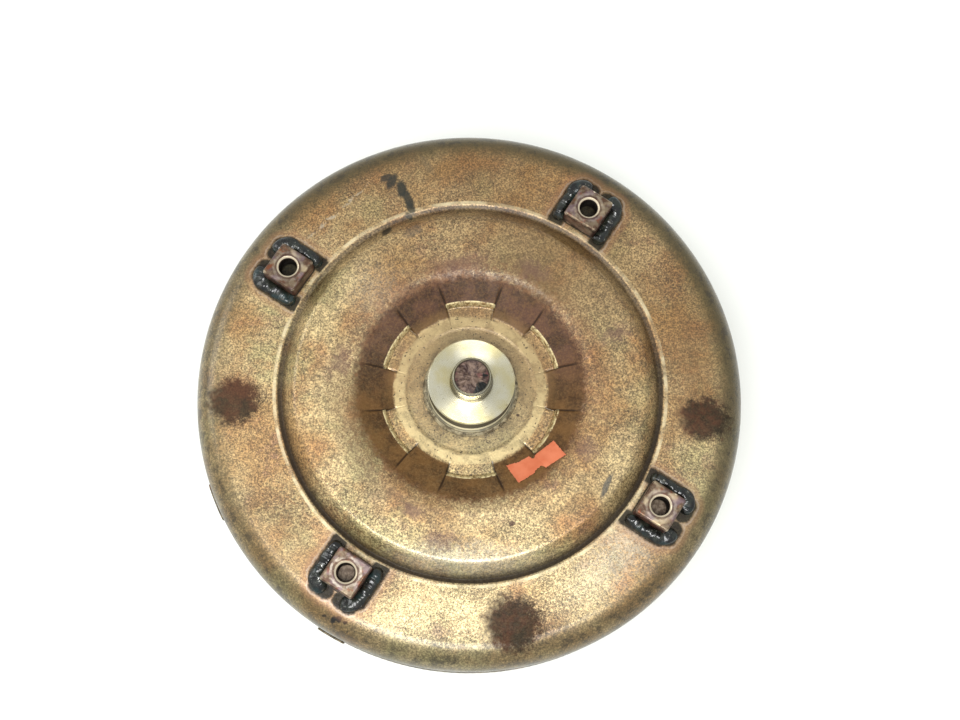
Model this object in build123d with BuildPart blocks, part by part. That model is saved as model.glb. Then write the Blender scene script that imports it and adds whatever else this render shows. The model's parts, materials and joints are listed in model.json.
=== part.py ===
from build123d import *
from math import cos, pi, radians, sin
import os

# Lock-up torque converter. Axis of rotation is Z, engine side up.
# The origin is the centre of the pump neck's rear end face, on which the converter stands.

# --- Casing -------------------------------------------------------------------------
rim_r = 140.0  # outside of the cover's rim
ring_z = 124.0  # flat drive ring on the cover
ring_in_r = 98.5  # inner edge of the drive ring
cover_t = 5.0  # cover sheet
cover_end_z = 88.0  # rear edge of the cover's rim
shoulder_r = 14.0  # rounded corner between ring and rim
groove_r = 95.6  # foot of the dome, beside the ring
groove_z = ring_z - 0.8
dome_z = ring_z + 7.2  # top of the raised dome
dome_out_r = 88.5  # corner between the dome's top and its outer wall
dome_in_r = 61.0  # corner between the dome's top and the slope to the centre
floor_z = ring_z - 3.0  # recessed centre
floor_r = 38.0
pocket_r = 44.5  # outer wall of the six pressed pockets
pocket_half_deg = 16.0
pocket_count = 6
shell_t = 4.5  # impeller shell sheet

# --- Flow circuit -------------------------------------------------------------------
split_z = 70.0  # plane between impeller and turbine
imp_mid_r = 95.5  # centre of the impeller shell's round section
imp_arc_r = 35.0
turb_mid_r = 95.0
turb_arc_r = 31.5
turb_t = 1.8
core_arc_r = 15.0  # outside of the core rings
core_t = 1.2
split_gap = 1.0  # from the split plane to each half
imp_flat_z = 46.0  # inside of the impeller shell's flat, next to the neck
turb_flange_z = 90.0  # top of the turbine shell's flange
blade_t = 1.0

# --- Centre -------------------------------------------------------------------------
pilot_r = 21.6
pilot_z = ring_z + 17.6
pilot_disc_t = 12.0
pilot_neck_r = 20.6
pilot_foot_r = 22.6
spigot_r = 17.0  # pilot's spigot through the cover
nub_r = 9.7
nub_z = ring_z + 28.9
neck_r = 25.0  # pump neck
neck_bore_r = 21.5
bush_bore_r = 20.5
hub_flange_r = 36.0
hub_top_z = imp_flat_z + 3.0
slot_w = 8.0  # oil pump drive slots
slot_depth = 7.0
pilot_foot_h = 4.0
pilot_end_z = 112.6  # inner end of the pilot boss
pilot_end_r = spigot_r + 8.0
pilot_bore_r = 11.0  # blind bore that the input shaft's end reaches into
pilot_bore_depth = 14.0
pilot_cone_h = 3.0
nub_chamfer = 1.2
disc_chamfer = 0.6
pilot_weld_leg = 3.0
bush_z0 = 9.0
bush_z1 = 25.0
neck_chamfer = 0.8
seam_h = 7.0
seam_bulge = 0.5
hub_weld_leg = 5.0
hub_weld_foot = 1.0  # how far the neck's flange stands below the shell
shell_bend_r = 5.0
shell_lip = 6.0  # how far the shell reaches up inside the cover's rim

# --- Drive pads ---------------------------------------------------------------------
pad_pcd = 222.0
pad_count = 4
pad_first_deg = 56.7
pad_side = 19.0
pad_h = 11.2
pad_hole_r = 4.4  # tapping size of an M10 x 1.25 thread
pad_mouth_r = 5.5
weld_w = 6.0
weld_h = 5.5
pad_corner_r = 1.5
pad_chamfer = 0.8
weld_gap = 9.0  # bare length in the middle of a pad's outer side
weld_land = 1.5

# --- Balance plates and label: middle in degrees, length, height of the middle ---------
balance_plates = ((60, 19, 103), (203, 20, 101), (240, 15, 99))
plate_t = 1.3
plate_w = 11.0
label_t = 0.25
label_deg = 27.0
label_at = (33, -37)

# --- Stator and one-way clutch ------------------------------------------------------
stator_z0 = 58.0
stator_z1 = 80.0
race_in_r = 30.0  # outside of the inner race
race_out_r = 43.0  # outside of the outer race
stator_hub_r = 60.5
stator_tip_r = 79.0
stator_shroud_r = 80.6
roller_r = 3.25
roller_count = 12
plate_rear_z = 53.4
plate_front_z = 83.7
plate_in_r = 24.0
plate_out_r = 52.0
plate_slot_r = 45.5
plate_slots = 6
inner_bore_r = 19.4  # tooth tips of the inner race's spline
inner_groove_r = 19.6
inner_grooves = 28
stator_blades = 17
stator_shroud_h = 16.0
outer_race_bore = race_in_r + 3.2

# --- Turbine hub, lock-up piston and damper -----------------------------------------
hub_r = 27.0  # cylinder that the lock-up piston slides on
hub_end_z = 110.5
hub_face_z = 88.1
spline_r = 12.4  # input shaft spline, tooth tips
spline_root_r = 13.6
spline_count = 24
running = 0.05
piston_t = 3.5
lining_t = 1.2
apply_gap = 1.3  # free gap between lining and cover
damper_z = 107.7  # middle plane of the damper
damper_r = 76.0  # circle of the damper springs
spring_r = 6.0
wire_r = 1.4
spring_count = 6
retainer_t = 1.6
driven_t = 2.2
retainer_out_r = 97.0
retainer_in_r = 63.0
rivet_circle_r = 89.5
rivet_r = 2.2
rivet_head_r = 3.6
retainer_gap = 0.6  # between a retainer and the driven plate
window_len = 53.0
coil_turns = 9
hub_rear_z = 86.5
hub_nose_r = 22.0
hub_step_r = 38.6
hub_rivet_flange_r = 46.0
hub_flange_t = 4.0
turb_bore_r = 39.0
turb_rivet_circle = 42.5
turb_rivet_count = 8
turb_rivet_r = 2.0
turb_head_r = 3.4
turb_head_h = 1.4
seal_z0 = 101.0
seal_z1 = 103.0
seal_depth = 2.2
washer_t = 1.9
lining_in_r = 104.0
lining_out_r = 126.0
piston_out_r = 128.0
piston_sleeve_z = 98.0
piston_sleeve_h = 8.0
tongue_end_z = 109.8
tongue_r = 95.0
tongue_w = 10.0
tongue_t = 3.4
tongue_deg = 30.0  # tongues and notches lie between the driven plate's arms

# --- Thrust bearings ------------------------------------------------------------------
bearing_in_r = 24.0
rear_bearing_r = 35.5
front_bearing_r = 36.5
thrust_race_t = 1.1
needle_r = 1.0
needle_count = 36
needle_margin = 2.0  # from the races' edges to the needles' ends
cage_t = 1.0


os.makedirs("parts", exist_ok=True)


def save(piece, name):
    """Label one finished piece and write it as its own STEP file."""
    piece.label = name
    export_step(piece, f"parts/{name}.step")


def around(radius, degrees, height=0.0):
    """A point on a circle round the axis."""
    return Vector(radius * cos(radians(degrees)), radius * sin(radians(degrees)), height)


def radial_plane(degrees):
    """Plane through the axis, with local x outwards and local y up."""
    out = around(1, degrees)
    return Plane(origin=(0, 0, 0), x_dir=out, z_dir=out.cross(Vector(0, 0, 1)))


def tangent_plane(degrees, radius, height):
    """Plane facing outwards at a radius, with local x along the travel and local y up."""
    out = around(1, degrees)
    return Plane(origin=around(radius, degrees, height), x_dir=Vector(0, 0, 1).cross(out), z_dir=out)


def ring(name, r_in, r_out, z0, z1):
    """A plain turned ring."""
    with BuildPart() as piece:
        with BuildSketch(Plane.XZ):
            with Locations(((r_in + r_out) / 2, (z0 + z1) / 2)):
                Rectangle(r_out - r_in, z1 - z0)
        revolve(axis=Axis.Z)
    save(piece.part, name)


# ====================================================================================
# Casing
# ====================================================================================
cover_line = [
    (spigot_r, floor_z),
    (floor_r + 2, floor_z),
    (dome_in_r, dome_z),
    (dome_out_r, dome_z),
    (groove_r, groove_z),
    (ring_in_r, ring_z),
    (rim_r, ring_z),
    (rim_r, cover_end_z),
]
cover_radii = [9.0, 16.0, 5.0, 0.8, 0.8, shoulder_r]

with BuildPart() as front_cover:
    with BuildSketch(Plane.XZ):
        with BuildLine():
            FilletPolyline(*cover_line, radius=cover_radii)
            offset(amount=cover_t, side=Side.RIGHT, kind=Kind.ARC)
        make_face()
    revolve(axis=Axis.Z)
    # six pockets pressed flat into the slope round the centre
    with BuildSketch(Plane.XY.offset(floor_z)):
        for pocket_number in range(pocket_count):
            mid = 90 + pocket_number * 360 / pocket_count
            low = floor_r - 2
            with BuildLine():
                near_start = around(low, mid - pocket_half_deg)
                far_start = around(pocket_r, mid - pocket_half_deg)
                far_end = around(pocket_r, mid + pocket_half_deg)
                near_end = around(low, mid + pocket_half_deg)
                Line(near_start, far_start)
                ThreePointArc(far_start, around(pocket_r, mid), far_end)
                Line(far_end, near_end)
                ThreePointArc(near_end, around(low, mid), near_start)
            make_face()
    extrude(amount=10, mode=Mode.SUBTRACT)
save(front_cover.part, "front_cover")

# pilot boss: turned disc with a centring nub, undercut, foot and spigot
with BuildPart() as crank_pilot:
    disc_z = pilot_z - pilot_disc_t
    foot_z = floor_z + pilot_foot_h
    with BuildSketch(Plane.XZ):
        with BuildLine():
            Polyline(
                (0, nub_z),
                (nub_r, nub_z),
                (nub_r, pilot_z),
                (pilot_r, pilot_z),
                (pilot_r, disc_z),
                (pilot_neck_r, disc_z),
                (pilot_neck_r, foot_z),
                (pilot_foot_r, foot_z),
                (pilot_foot_r, floor_z),
                (spigot_r, floor_z),
                (spigot_r, floor_z - cover_t),
                (pilot_end_r, floor_z - cover_t),
                (pilot_end_r, pilot_end_z),
                (pilot_bore_r, pilot_end_z),
                (pilot_bore_r, pilot_end_z + pilot_bore_depth),
                (0, pilot_end_z + pilot_bore_depth + pilot_cone_h),
                (0, nub_z),
            )
        make_face()
    revolve(axis=Axis.Z)
    nub_edge = crank_pilot.edges().filter_by(GeomType.CIRCLE).group_by(Axis.Z)[-1]
    chamfer(nub_edge, length=nub_chamfer)
    face_edge = crank_pilot.edges().filter_by(GeomType.CIRCLE).filter_by(
        lambda e: abs(e.center().Z - pilot_z) < 0.01 and abs(e.radius - pilot_r) < 0.01
    )
    chamfer(face_edge, length=disc_chamfer)
save(crank_pilot.part, "crank_pilot")

# fillet weld round the pilot's foot
with BuildPart() as pilot_weld:
    with BuildSketch(Plane.XZ):
        with BuildLine():
            weld_edge_r = pilot_foot_r + pilot_weld_leg
            weld_top_z = floor_z + pilot_weld_leg
            bulge = 0.6 * pilot_weld_leg
            Line((pilot_foot_r, floor_z), (weld_edge_r, floor_z))
            ThreePointArc(
                (weld_edge_r, floor_z),
                (pilot_foot_r + bulge, floor_z + bulge),
                (pilot_foot_r, weld_top_z),
            )
            Line((pilot_foot_r, weld_top_z), (pilot_foot_r, floor_z))
        make_face()
    revolve(axis=Axis.Z)
save(pilot_weld.part, "pilot_weld")

# four square weld nuts
with BuildPart() as drive_pads:
    with BuildSketch(Plane.XY.offset(ring_z)):
        with PolarLocations(pad_pcd / 2, pad_count, start_angle=pad_first_deg):
            RectangleRounded(pad_side, pad_side, pad_corner_r)
    extrude(amount=pad_h)
    chamfer(drive_pads.faces().group_by(Axis.Z)[-1].edges(), length=pad_chamfer)
    with BuildSketch(Plane.XY.offset(ring_z)):
        with PolarLocations(pad_pcd / 2, pad_count, start_angle=pad_first_deg):
            Circle(pad_hole_r)
    extrude(amount=pad_h, mode=Mode.SUBTRACT)
    mouths = drive_pads.edges().filter_by(GeomType.CIRCLE).filter_by(
        lambda e: abs(e.center().Z - ring_z - pad_h) < 0.01 and abs(e.radius - pad_hole_r) < 0.01
    )
    chamfer(mouths, length=pad_mouth_r - pad_hole_r)
save(drive_pads.part, "drive_pads")

# weld beads: one along each radial side of a pad, turned round its outer corner
with BuildPart() as pad_welds:
    with BuildSketch(Plane.XY.offset(ring_z)):
        with PolarLocations(pad_pcd / 2, pad_count, start_angle=pad_first_deg):
            Rectangle(pad_side + 2 * weld_w, pad_side + 2 * weld_w)
    extrude(amount=weld_h)
    upright = pad_welds.edges().filter_by(Axis.Z)
    fillet(upright, radius=weld_w)
    bead_tops = pad_welds.faces().group_by(Axis.Z)[-1].edges()
    chamfer(bead_tops, length=weld_h - weld_land, length2=weld_w - weld_land)
    with BuildSketch(Plane.XY.offset(ring_z)):
        with PolarLocations(pad_pcd / 2, pad_count, start_angle=pad_first_deg):
            Rectangle(pad_side, pad_side)
            with Locations((-pad_side / 2 - weld_w / 2, 0)):
                Rectangle(weld_w, pad_side + 2 * weld_w)
            with Locations((pad_side / 2 + weld_w / 2, 0)):
                Rectangle(weld_w, weld_gap)
    extrude(amount=weld_h, mode=Mode.SUBTRACT)
save(pad_welds.part, "pad_welds")

# three balance plates spot-welded to the rim
with BuildPart() as balance_weights:
    for middle_deg, length_mm, z_mid in balance_plates:
        sweep_deg = length_mm / rim_r * 180 / pi
        with BuildSketch(radial_plane(middle_deg - sweep_deg / 2)):
            with Locations((rim_r + plate_t / 2, z_mid)):
                Rectangle(plate_t, plate_w)
        revolve(axis=Axis.Z, revolution_arc=sweep_deg)
    corners = balance_weights.edges().filter_by(GeomType.LINE).filter_by(
        lambda e: abs(e.length - plate_t) < 0.01
    )
    fillet(corners, radius=2.0)
save(balance_weights.part, "balance_weights")

# small torn paper label, lying on the slope beside the centre
with BuildPart() as label:
    with BuildSketch(Plane.XZ):
        with BuildLine():
            FilletPolyline(*cover_line[:4], radius=cover_radii[:2])
            offset(amount=label_t, side=Side.LEFT, kind=Kind.ARC)
        make_face()
    revolve(axis=Axis.Z)
    label_plane = Plane(origin=(*label_at, floor_z - 5), x_dir=around(1, label_deg), z_dir=(0, 0, 1))
    with BuildSketch(label_plane):
        with BuildLine():
            Polyline(
                (-15, -3.5),
                (-15, 3.0),
                (-4, 3.3),
                (-3.4, 4.8),
                (15, 4.6),
                (14.4, -2.6),
                (3.2, -2.9),
                (2.6, -3.9),
                (-15, -3.5),
            )
        make_face()
    extrude(amount=30, mode=Mode.INTERSECT)
save(label.part, "label")

# impeller shell: flat by the neck, round section, then a cylinder inside the cover's rim
shell_drop = split_z - imp_flat_z
shell_in_r = imp_mid_r - (imp_arc_r**2 - shell_drop**2) ** 0.5
shell_lip_z = cover_end_z + shell_lip
out_arc_r = imp_arc_r + shell_t
out_drop = shell_drop + shell_t
shell_out_r = imp_mid_r - (out_arc_r**2 - out_drop**2) ** 0.5
with BuildPart() as impeller_shell:
    with BuildSketch(Plane.XZ):
        with BuildLine():
            Line((hub_flange_r, imp_flat_z), (shell_in_r, imp_flat_z))
            ThreePointArc(
                (shell_in_r, imp_flat_z),
                (imp_mid_r, split_z - imp_arc_r),
                (imp_mid_r + imp_arc_r, split_z),
            )
            Line((imp_mid_r + imp_arc_r, split_z), (imp_mid_r + imp_arc_r, shell_lip_z))
            Line((imp_mid_r + imp_arc_r, shell_lip_z), (imp_mid_r + out_arc_r, shell_lip_z))
            Line((imp_mid_r + out_arc_r, shell_lip_z), (imp_mid_r + out_arc_r, split_z))
            ThreePointArc(
                (imp_mid_r + out_arc_r, split_z),
                (imp_mid_r, split_z - out_arc_r),
                (shell_out_r, imp_flat_z - shell_t),
            )
            Line((shell_out_r, imp_flat_z - shell_t), (hub_flange_r, imp_flat_z - shell_t))
            Line((hub_flange_r, imp_flat_z - shell_t), (hub_flange_r, imp_flat_z))
        make_face()
    revolve(axis=Axis.Z)
    bend = impeller_shell.edges().filter_by(GeomType.CIRCLE).filter_by(
        lambda e: abs(e.radius - shell_out_r) < 0.01 or abs(e.radius - shell_in_r) < 0.01
    )
    fillet(bend, radius=shell_bend_r)
save(impeller_shell.part, "impeller_shell")

# closing weld between the cover's edge and the impeller shell
with BuildPart() as seam_weld:
    shell_r = imp_mid_r + out_arc_r
    with BuildSketch(Plane.XZ):
        with BuildLine():
            Line((shell_r, cover_end_z), (rim_r, cover_end_z))
            ThreePointArc(
                (rim_r, cover_end_z),
                (rim_r + seam_bulge, cover_end_z - seam_h / 2),
                (shell_r, cover_end_z - seam_h),
            )
            Line((shell_r, cover_end_z - seam_h), (shell_r, cover_end_z))
        make_face()
    revolve(axis=Axis.Z)
save(seam_weld.part, "seam_weld")

# pump neck with its flange and the two slots that turn the oil pump
with BuildPart() as impeller_hub:
    with BuildSketch(Plane.XZ):
        with BuildLine():
            Polyline(
                (neck_bore_r, 0),
                (neck_r, 0),
                (neck_r, imp_flat_z - shell_t - hub_weld_foot),
                (hub_flange_r, imp_flat_z - shell_t - hub_weld_foot),
                (hub_flange_r, hub_top_z),
                (neck_bore_r, hub_top_z),
                (neck_bore_r, 0),
            )
        make_face()
    revolve(axis=Axis.Z)
    neck_end = impeller_hub.edges().filter_by(GeomType.CIRCLE).group_by(Axis.Z)[0]
    chamfer(neck_end, length=neck_chamfer)
    with BuildSketch(Plane.XY):
        Rectangle(2 * neck_r + 4, slot_w)
    extrude(amount=slot_depth, mode=Mode.SUBTRACT)
save(impeller_hub.part, "impeller_hub")

# bead between the neck's flange and the shell
with BuildPart() as hub_weld:
    flange_z = imp_flat_z - shell_t
    with BuildSketch(Plane.XZ):
        with BuildLine():
            foot = hub_weld_foot
            bulge = 0.52 * hub_weld_leg
            Line((hub_flange_r, flange_z), (hub_flange_r + hub_weld_leg, flange_z))
            ThreePointArc(
                (hub_flange_r + hub_weld_leg, flange_z),
                (hub_flange_r + bulge, flange_z - bulge),
                (hub_flange_r - foot, flange_z - foot),
            )
            Line((hub_flange_r - foot, flange_z - foot), (hub_flange_r, flange_z - foot))
            Line((hub_flange_r, flange_z - foot), (hub_flange_r, flange_z))
        make_face()
    revolve(axis=Axis.Z)
save(hub_weld.part, "hub_weld")

# bronze bush in the neck
ring("hub_bush", bush_bore_r, neck_bore_r, bush_z0, bush_z1)


# ====================================================================================
# Impeller and turbine wheels
# ====================================================================================
def flow_blades(name, mid_r, arc_r, side, count, flat_z, inner_cut_z, lean):
    """Curved sheet blades that fill the channel between a shell and its core ring."""
    edge_z = split_z + side * split_gap
    with BuildPart() as wheel:
        with BuildSketch(Plane.XZ):
            with Locations((mid_r, split_z)):
                Circle(arc_r)
                Circle(core_arc_r, mode=Mode.SUBTRACT)
            # only this side of the split plane
            with Locations((mid_r, edge_z - side * 30)):
                Rectangle(120, 60, mode=Mode.SUBTRACT)
            # room for the stator between the two wheels
            with Locations(((stator_shroud_r + 1.2) / 2, split_z)):
                Rectangle(stator_shroud_r + 1.2, 2 * abs(inner_cut_z - split_z), mode=Mode.SUBTRACT)
            # the shell's flat closes the channel towards the axis
            with Locations((mid_r - 50, flat_z + side * 30)):
                Rectangle(100 - 2 * 5, 60, mode=Mode.SUBTRACT)
        revolve(axis=Axis.Z)
        with BuildSketch(Plane.XY.offset(split_z - 40)):
            for number in range(count):
                turn = number * 360 / count
                with BuildLine():
                    ThreePointArc(
                        around(mid_r - arc_r - 2, turn),
                        around(mid_r, turn + lean),
                        around(mid_r + arc_r + 2, turn + lean * 2.2),
                    )
                trace(line_width=blade_t)
        extrude(amount=80, mode=Mode.INTERSECT)
    save(wheel.part, name)


def core_ring(name, mid_r, side):
    """Half-round ring that the blades' inner edges are fixed to."""
    edge_z = split_z + side * split_gap
    with BuildPart() as core:
        with BuildSketch(Plane.XZ):
            with Locations((mid_r, split_z)):
                Circle(core_arc_r)
                Circle(core_arc_r - core_t, mode=Mode.SUBTRACT)
            with Locations((mid_r, edge_z - side * 30)):
                Rectangle(120, 60, mode=Mode.SUBTRACT)
            with Locations(((stator_shroud_r + 1.2) / 2, split_z)):
                Rectangle(stator_shroud_r + 1.2, 60, mode=Mode.SUBTRACT)
        revolve(axis=Axis.Z)
    save(core.part, name)


flow_blades("impeller_blades", imp_mid_r, imp_arc_r, -1, 29, imp_flat_z, stator_z0 + 1, 4)
flow_blades("turbine_blades", turb_mid_r, turb_arc_r, 1, 31, turb_flange_z - turb_t, stator_z1 + 1, -9)
core_ring("impeller_core_ring", imp_mid_r, -1)
core_ring("turbine_core_ring", turb_mid_r, 1)

# turbine shell: round section turned into a flat flange
turb_edge_z = split_z + split_gap
flange_under_z = turb_flange_z - turb_t
turb_out_r = turb_arc_r + turb_t
turb_in_x = turb_mid_r - (turb_arc_r**2 - (flange_under_z - split_z) ** 2) ** 0.5
turb_out_x = turb_mid_r - (turb_out_r**2 - (turb_flange_z - split_z) ** 2) ** 0.5
turb_in_edge = turb_mid_r + (turb_arc_r**2 - split_gap**2) ** 0.5
turb_out_edge = turb_mid_r + (turb_out_r**2 - split_gap**2) ** 0.5
with BuildPart() as turbine_shell:
    with BuildSketch(Plane.XZ):
        with BuildLine():
            Line((turb_bore_r, flange_under_z), (turb_in_x, flange_under_z))
            ThreePointArc(
                (turb_in_x, flange_under_z),
                (turb_mid_r, split_z + turb_arc_r),
                (turb_in_edge, turb_edge_z),
            )
            Line((turb_in_edge, turb_edge_z), (turb_out_edge, turb_edge_z))
            ThreePointArc(
                (turb_out_edge, turb_edge_z),
                (turb_mid_r, split_z + turb_out_r),
                (turb_out_x, turb_flange_z),
            )
            Line((turb_out_x, turb_flange_z), (turb_bore_r, turb_flange_z))
            Line((turb_bore_r, turb_flange_z), (turb_bore_r, flange_under_z))
        make_face()
    revolve(axis=Axis.Z)
    with BuildSketch(Plane.XY.offset(flange_under_z)):
        with PolarLocations(turb_rivet_circle, turb_rivet_count):
            Circle(turb_rivet_r)
    extrude(amount=turb_t, mode=Mode.SUBTRACT)
save(turbine_shell.part, "turbine_shell")

# turbine hub: splined bore, rivet flange and the cylinder that the piston slides on
hub_flange_top = turb_flange_z + hub_flange_t
with BuildPart() as turbine_hub:
    with BuildSketch(Plane.XZ):
        with BuildLine():
            Polyline(
                (spline_r, hub_rear_z),
                (hub_nose_r, hub_rear_z),
                (hub_nose_r, hub_face_z),
                (hub_step_r, hub_face_z),
                (hub_step_r, turb_flange_z),
                (hub_rivet_flange_r, turb_flange_z),
                (hub_rivet_flange_r, hub_flange_top),
                (hub_r, hub_flange_top),
                (hub_r, seal_z0),
                (hub_r - seal_depth, seal_z0),
                (hub_r - seal_depth, seal_z1),
                (hub_r, seal_z1),
                (hub_r, hub_end_z),
                (spline_r, hub_end_z),
                (spline_r, hub_rear_z),
            )
        make_face()
    revolve(axis=Axis.Z)
    with BuildSketch(Plane.XY.offset(hub_rear_z)):
        with PolarLocations(spline_r + 0.3, spline_count):
            Rectangle(2 * (spline_root_r - spline_r - 0.3), 1.6)
    extrude(amount=hub_end_z - hub_rear_z, mode=Mode.SUBTRACT)
    with BuildSketch(Plane.XY.offset(turb_flange_z)):
        with PolarLocations(turb_rivet_circle, turb_rivet_count):
            Circle(turb_rivet_r)
    extrude(amount=hub_flange_t, mode=Mode.SUBTRACT)
save(turbine_hub.part, "turbine_hub")

# rivets through driven plate, hub flange and turbine shell
with BuildPart() as turbine_rivets:
    rivet_top = hub_flange_top + driven_t
    with BuildSketch(Plane.XY.offset(flange_under_z)):
        with PolarLocations(turb_rivet_circle, turb_rivet_count):
            Circle(turb_rivet_r)
    extrude(amount=rivet_top - flange_under_z)
    with BuildSketch(Plane.XY.offset(rivet_top)):
        with PolarLocations(turb_rivet_circle, turb_rivet_count):
            Circle(turb_head_r)
    extrude(amount=turb_head_h)
    with BuildSketch(Plane.XY.offset(flange_under_z - turb_head_h)):
        with PolarLocations(turb_rivet_circle, turb_rivet_count):
            Circle(turb_head_r)
    extrude(amount=turb_head_h)
save(turbine_rivets.part, "turbine_rivets")

ring("piston_seal", hub_r - 2.0, hub_r, seal_z0 + running, seal_z1 - running)
ring("turbine_thrust_washer", 15, 24.5, hub_end_z, hub_end_z + washer_t)


# ====================================================================================
# Stator and one-way clutch
# ====================================================================================
with BuildPart() as stator_wheel:
    with BuildSketch(Plane.XZ):
        mid_z = (stator_z0 + stator_z1) / 2
        with Locations(((race_out_r + stator_hub_r) / 2, mid_z)):
            Rectangle(stator_hub_r - race_out_r, stator_z1 - stator_z0)
        with Locations(((stator_tip_r + stator_shroud_r) / 2, mid_z)):
            Rectangle(stator_shroud_r - stator_tip_r, stator_shroud_h)
    revolve(axis=Axis.Z)
    for blade_number in range(stator_blades):
        blade_deg = blade_number * 360 / stator_blades
        with BuildSketch(tangent_plane(blade_deg, stator_hub_r - 1, mid_z)):
            with BuildLine():
                nose = ThreePointArc((-5.5, 6.0), (-4.0, 8.6), (-1.2, 7.0))
                back = ThreePointArc(nose @ 1, (2.6, 1.0), (5.6, -8.2))
                belly = ThreePointArc(back @ 1, (-0.6, 0.5), nose @ 0)
            make_face()
        extrude(amount=stator_tip_r - stator_hub_r + 1.5)
save(stator_wheel.part, "stator_wheel")

# outer race with twelve ramped pockets
pocket_floor = race_in_r + 2 * roller_r
with BuildPart() as clutch_outer_race:
    with BuildSketch(Plane.XY.offset(stator_z0)):
        Circle(race_out_r)
        Circle(outer_race_bore, mode=Mode.SUBTRACT)
        for pocket_number in range(roller_count):
            mid = pocket_number * 360 / roller_count
            with BuildLine():
                Polyline(
                    around(race_in_r + 2.5, mid - 9),
                    around(pocket_floor - 0.05, mid - 9),
                    around(pocket_floor + 1.9, mid + 10),
                    around(race_in_r + 2.5, mid + 10),
                    around(race_in_r + 2.5, mid - 9),
                )
            make_face(mode=Mode.SUBTRACT)
    extrude(amount=stator_z1 - stator_z0)
save(clutch_outer_race.part, "clutch_outer_race")

with BuildPart() as clutch_inner_race:
    with BuildSketch(Plane.XY.offset(stator_z0 + 0.1)):
        Circle(race_in_r)
        Circle(inner_bore_r, mode=Mode.SUBTRACT)
        with PolarLocations(inner_groove_r, inner_grooves):
            Rectangle(2.4, 2.0, mode=Mode.SUBTRACT)
    extrude(amount=stator_z1 - stator_z0 - 0.2)
save(clutch_inner_race.part, "clutch_inner_race")

with BuildPart() as clutch_rollers:
    with BuildSketch(Plane.XY.offset(stator_z0 + 0.5)):
        with PolarLocations(race_in_r + roller_r + running, roller_count):
            Circle(roller_r)
    extrude(amount=stator_z1 - stator_z0 - 1)
save(clutch_rollers.part, "clutch_rollers")

# folded leaf springs that push each roller up its ramp
with BuildPart() as clutch_springs:
    spring_mid_r = race_in_r + 4.2
    fold_half = 1.7
    with BuildSketch(Plane.XY.offset(stator_z0 + 3)):
        for spring_number in range(roller_count):
            mid = spring_number * 360 / roller_count
            fold_points = []
            for fold in range(5):
                side = 1 if fold % 2 else -1
                fold_points.append(around(spring_mid_r + side * fold_half, mid + 6.8 + 0.6 * fold))
            with BuildLine():
                Polyline(*fold_points)
            trace(line_width=0.25)
    extrude(amount=stator_z1 - stator_z0 - 6)
save(clutch_springs.part, "clutch_springs")

# side plates that close the clutch and carry the thrust bearings
for plate_name, plate_z0, plate_z1 in (
    ("clutch_rear_plate", plate_rear_z, stator_z0),
    ("clutch_front_plate", stator_z1, plate_front_z),
):
    with BuildPart() as side_plate:
        with BuildSketch(Plane.XY.offset(plate_z0)):
            Circle(plate_out_r)
            Circle(plate_in_r, mode=Mode.SUBTRACT)
        extrude(amount=plate_z1 - plate_z0)
        with BuildSketch(Plane.XY.offset(plate_z0)):
            with PolarLocations(plate_slot_r, plate_slots):
                SlotOverall(11, 4)
        extrude(amount=plate_z1 - plate_z0, mode=Mode.SUBTRACT)
    save(side_plate.part, plate_name)


def thrust_bearing(side, z0, r_in, r_out):
    """Needle thrust bearing: two races and a cage of needles between them."""
    needle_z = z0 + thrust_race_t + running + needle_r
    top = needle_z + needle_r + running
    ring(f"{side}_bearing_lower_race", r_in, r_out, z0, z0 + thrust_race_t)
    ring(f"{side}_bearing_upper_race", r_in, r_out, top, top + thrust_race_t)
    needle_len = (r_out - r_in) - 2 * needle_margin
    with BuildPart() as needles:
        for number in range(needle_count):
            plane = tangent_plane(number * 360 / needle_count, r_in + needle_margin, needle_z)
            with BuildSketch(plane):
                Circle(needle_r)
            extrude(amount=needle_len)
    save(needles.part, f"{side}_bearing_needles")
    with BuildPart() as cage:
        with BuildSketch(Plane.XY.offset(needle_z - cage_t / 2)):
            Circle(r_out - 0.5)
            Circle(r_in + 0.5, mode=Mode.SUBTRACT)
            with PolarLocations((r_in + r_out) / 2, needle_count):
                Rectangle(needle_len + 2 * running, 2 * (needle_r + running), mode=Mode.SUBTRACT)
        extrude(amount=cage_t)
    save(cage.part, f"{side}_bearing_cage")


thrust_bearing("rear", hub_top_z, bearing_in_r, rear_bearing_r)
thrust_bearing("front", plate_front_z, bearing_in_r, front_bearing_r)


# ====================================================================================
# Lock-up piston and damper
# ====================================================================================
lining_top = ring_z - cover_t - apply_gap
piston_top = lining_top - lining_t
piston_under = piston_top - piston_t
with BuildPart() as lockup_piston:
    with BuildSketch(Plane.XZ):
        with BuildLine():
            bore_r = hub_r + running
            FilletPolyline(
                (bore_r, 104.5 + piston_t),
                (45, 104.5 + piston_t),
                (60, 120),
                (86, 120),
                (91.5, piston_top),
                (piston_out_r, piston_top),
                radius=[4, 4, 4, 4],
            )
            offset(amount=piston_t, side=Side.RIGHT, kind=Kind.ARC)
        make_face()
    revolve(axis=Axis.Z)
    with BuildSketch(Plane.XY.offset(piston_sleeve_z)):
        Circle(bore_r + 3)
        Circle(bore_r, mode=Mode.SUBTRACT)
    extrude(amount=piston_sleeve_h)
    with BuildSketch(Plane.XY.offset(tongue_end_z)):
        with PolarLocations(tongue_r, spring_count, start_angle=tongue_deg):
            Rectangle(tongue_t, tongue_w)
    extrude(amount=piston_under - tongue_end_z + 0.5)
save(lockup_piston.part, "lockup_piston")

ring("friction_lining", lining_in_r, lining_out_r, piston_top, lining_top)

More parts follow.
